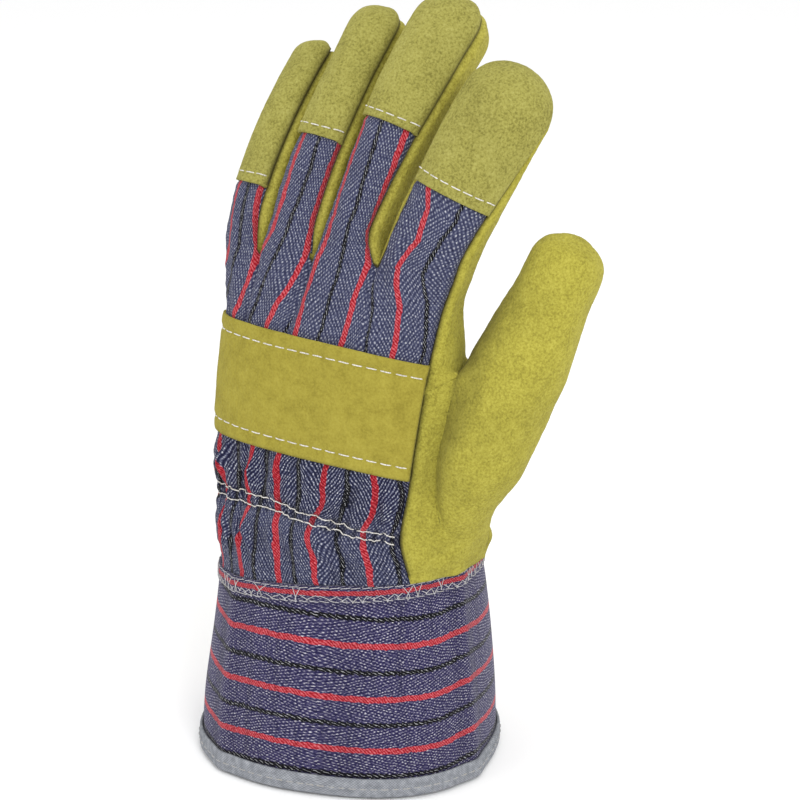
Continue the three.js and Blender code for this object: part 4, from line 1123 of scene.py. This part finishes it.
def ringPatch(base, height, lift, across, flipped=False):
    # a strip round the cuff; its outline is heights over base, lifts off the cuff and places in the cloth
    rows = np.arange(len(height))

    def place(r, c):
        return cuffPoint(c, base(c) + np.interp(r, rows, height), np.interp(r, rows, lift))

    return patch(rows, angles, place, flipped, u=lambda r, c: np.interp(r, rows, across),
                 v=lambda r, c: c * roundCuff)


def makeHem():
    outer, inner = cuff["gap"] + hem["wall"], -cuff["wall"] - cuff["gap"] - hem["wall"]
    profile = [(hem["height"], cuff["gap"]), (hem["height"] + 0.1, outer * 0.8), (hem["shoulder"], outer),
               (hem["middle"], outer + hem["swell"]), (hem["fold"], outer)]
    middle, radius = (outer + inner) / 2, (outer - inner) / 2
    for turn in np.radians(np.linspace(20, 160, 8)):
        profile.append((1.55 - 1.5 * math.sin(turn), middle + radius * math.cos(turn)))
    profile += [(hem["fold"], inner), (hem["shoulder"], inner), (hem["height"], inner + 0.3),
                (hem["height"], inner + 0.9), (hem["mouth"], inner + 1.0), (hem["mouth"], cuff["gap"])]
    z, offset = np.array(profile + profile[:1]).T
    along = np.concatenate(([0], np.cumsum(np.hypot(np.diff(z), np.diff(offset)))))
    skin = join([ringPatch(lambda c: 0 * c, z, offset, along, flipped=True)])
    buildMesh("hemBinding", skin, tape, 0, ["cuff_hem"], "hem_binding", ("u", "v"))
    return skin


hemSurface = makeHem()


def makeBand():
    skin = join([ringPatch(cuffTop, band["height"], band["lift"], band["across"])])
    even = np.ones(len(skin["points"]))
    buildMesh("overlockedBand", skin, cuffTwill, 0, ["cuff_seam_band"], "overlocked_edge", ("u", "v"),
              halfScale=0.5 * even, shade=band["shade"] * even)
    return skin


bandSurface = makeBand()
print("cuff")


# threads: one mesh for each kind of seam, laid on the finished surfaces
threads = dict(strap=dict(radius=0.22, length=3.7, gap=1.0), cap=dict(radius=0.2, length=3.1, gap=0.9),
               elastic=dict(radius=0.21, length=4.3, gap=0.3),
               lock=dict(radius=0.2, length=3.2, gap=0.4, loopRadius=0.13),
               hem=dict(radius=0.2, length=2.6, gap=1.0))
# the looper thread's turns: degrees apart, mm below the edge where it starts and ends, slant
loops = dict(step=(2.4, 6.8), start=(2.6, 3.4), highShare=0.3, highStart=0.4, end=(4.2, 5.8),
             slant=(0.1, 0.4))


def surfaceOf(skin):
    return BVHTree.FromPolygons(skin["points"].tolist(), facesOf(skin))


def laidOn(surface, path, heights):
    # the places on the surface that are nearest to a path, raised by these heights, and the normals there
    places, normals = (np.array(found) for found in zip(*(surface.find_nearest(point)[:2] for point in path)))
    return places + normals * heights[:, None], normals


def stitches(path, surface, look, sway=0.0, low=-1.1, high=0.75):
    # cuts a path into stitches that rise out of the surface and sink back into it
    along = np.concatenate(([0], np.cumsum(np.linalg.norm(np.diff(path, axis=0), axis=1))))
    count = max(1, int(along[-1] / (look["length"] + look["gap"])))
    pitch = along[-1] / count
    lines = []
    for n in range(count):
        start = n * pitch + chance.uniform(-0.12, 0.12)
        reach = pitch - look["gap"] + chance.uniform(-0.2, 0.2)
        t = np.linspace(0, 1, 8)
        at = np.stack([np.interp(start + reach * t, along, path[:, i]) for i in range(3)], -1)
        height = look["radius"] * (low + (high - low) * np.sin(np.pi * t) ** 0.5)
        points, normals = laidOn(surface, at, height)
        points[:, 2] += sway * (t - 0.5) * 2
        lines.append((points, normals))
    return lines


def threadMesh(name, lines, radius, material, sides=6):
    points, faces, start = [], [], 0
    turn = np.arange(sides) * 2 * math.pi / sides
    for line, normals in lines:
        ahead = np.gradient(line, axis=0)
        ahead /= np.maximum(np.linalg.norm(ahead, axis=1, keepdims=True), 1e-9)
        side = np.cross(ahead, normals)
        side /= np.maximum(np.linalg.norm(side, axis=1, keepdims=True), 1e-9)
        up = np.cross(side, ahead)
        ring = line[:, None] + radius * (np.cos(turn)[None, :, None] * side[:, None]
                                         + np.sin(turn)[None, :, None] * up[:, None])
        count = len(line)
        points.append(ring.reshape(-1, 3))
        for below in range(start, start + (count - 1) * sides, sides):
            for a in range(sides):
                b = (a + 1) % sides
                faces.append([below + a, below + b, below + sides + b, below + sides + a])
        faces.append([start + a for a in range(sides)][::-1])
        faces.append([start + (count - 1) * sides + a for a in range(sides)])
        start += count * sides
    meshPiece(name, np.concatenate(points), faces, material)


def makeStrapThread():
    surface, lines = surfaceOf(strapSurface), []
    share = np.linspace(strap["insetOuter"] + 0.012, 1 - strap["insetThumb"] - 0.006, 400)
    height = strap["high"] - strap["low"]
    for t in (strap["rowFromEdge"] / height, 1 - strap["rowFromEdge"] / height):
        lines += stitches(backSkin(share, strapHeight(share, t)), surface, threads["strap"])
    threadMesh("strapStitches", lines, threads["strap"]["radius"], thread)


def makeCapThread():
    lines = []
    rows = zip(fingers, (3.2, 3.6, 3.0, 4.0), (0.4, 0.8, 0.8, 0.6))   # mm above the edge, bow in mm
    for k, (finger, above, bow) in enumerate(rows):
        share = np.linspace(0.03, 0.97, 120)
        path = fingerSkin("back", k, share, finger["cap"] + above - bow * np.sin(np.pi * share))
        lines += stitches(path, surfaceOf(leatherSkins[finger["name"] + "_cap"]), threads["cap"])
    threadMesh("fingertipStitches", lines, threads["cap"]["radius"], thread)


def makeElasticThread():
    surface, lines = surfaceOf(backSurface), []
    share = np.linspace(0.012, 0.985, 700)
    for row, phase in (("upper", 0.0), ("lower", 1.7)):
        z = np.interp(share, elasticRows["share"], elasticRows[row])
        z = z + 0.14 * np.sin(2 * np.pi * 13 * share + phase) + 0.07 * np.sin(2 * np.pi * 31 * share + phase)
        lines += stitches(backSkin(share, z), surface, threads["elastic"], sway=-0.16, low=-0.2, high=0.9)
    threadMesh("elasticStitches", lines, threads["elastic"]["radius"], thread)


def makeOverlock():
    surface, look = surfaceOf(bandSurface), threads["lock"]

    def ring(angle, below):
        return cuffPoint(angle, cuffTop(angle) - below, 1.2 + 0 * angle)

    full = np.linspace(0, 360, 1400)
    lines = stitches(ring(full, 0.15), surface, look, sway=0.12, low=0.2, high=0.9)
    lines += stitches(ring(full, 4.9), surface, look, sway=-0.25, low=-0.2, high=0.9)
    # looper threads run down from the edge and back, no two alike
    turn = 0.0
    while turn < 359:
        step = chance.uniform(*loops["step"])
        isHigh = chance.random() < loops["highShare"]
        high = loops["highStart"] if isHigh else chance.uniform(*loops["start"])
        depth = chance.uniform(*loops["end"])
        t = np.linspace(0, 1, 14)
        angle = turn + step * (t + chance.uniform(*loops["slant"]) * np.sin(2 * np.pi * t))
        below = high + (depth - high) * np.sin(np.pi * t)
        lines.append(laidOn(surface, ring(angle, below), 0.12 + 0 * t))
        turn += step
    threadMesh("overlockThread", lines, look["loopRadius"], lockThread, sides=5)


def makeHemThread():
    surface = surfaceOf(hemSurface)
    full = np.linspace(0, 360, 1400)
    path = cuffPoint(full, hem["stitchHeight"] + 0 * full, cuff["gap"] + hem["wall"] + 0.1 + 0 * full)
    lines = stitches(path, surface, threads["hem"], low=-1.2, high=0.5)
    threadMesh("hemStitches", lines, threads["hem"]["radius"], hemThread)


makeStrapThread()
makeCapThread()
makeElasticThread()
makeOverlock()
makeHemThread()
print("threads")


# floor, light and camera, in metres
room = dict(floorSize=6, floorHeight=-0.0006, daylight=0.92, aim=(0.01, 0.0, 0.13),
            lamps=[("key", (0.85, -0.75, 0.85), 0.5, 7.0), ("fill", (-0.7, -0.8, 0.5), 0.9, 1.5),
                   ("top", (0.05, 0.1, 1.2), 0.9, 2.0)])   # name, place, size, watts


def makeStage():
    bpy.ops.mesh.primitive_plane_add(size=room["floorSize"], location=(0, 0, room["floorHeight"]))
    floor = bpy.context.object
    floor.name = "paleFloor"
    m = newMaterial("paleFloor")
    floor.data.materials.append(finishMaterial(m, add(m, "BsdfPrincipled", {
        "Base Color": colour("#FFFFFF"), "Roughness": 0.9, "Specular IOR Level": 0.1})))
    world = bpy.data.worlds.new("softRoom")
    bpy.context.scene.world = world
    world.use_nodes = True
    background = world.node_tree.nodes["Background"]
    background.inputs[0].default_value = colour("#FFFFFF")
    background.inputs[1].default_value = room["daylight"]
    for name, place, size, power in room["lamps"]:
        light = bpy.data.lights.new(name, "AREA")
        light.size, light.energy = size, power
        lamp = bpy.data.objects.new(name, light)
        lamp.location = place
        lamp.rotation_euler = (Vector(room["aim"]) - Vector(place)).to_track_quat("-Z", "Y").to_euler()
        bpy.context.collection.objects.link(lamp)


def makeCamera():
    target, distance = Vector((0.012, 0.013, 0.123)), 0.9
    azimuth, elevation = math.radians(30), math.radians(20)
    back = Vector((math.sin(azimuth) * math.cos(elevation), -math.cos(azimuth) * math.cos(elevation),
                   math.sin(elevation)))
    data = bpy.data.cameras.new("camera")
    data.lens, data.sensor_width, data.clip_start = 122, 36, 0.01
    camera = bpy.data.objects.new("camera", data)
    camera.location = target + back * distance
    camera.rotation_euler = (-back).to_track_quat("-Z", "Y").to_euler()
    bpy.context.collection.objects.link(camera)
    bpy.context.scene.camera = camera


makeStage()
makeCamera()
bpy.context.scene.view_settings.view_transform = "Standard"
print("stage")
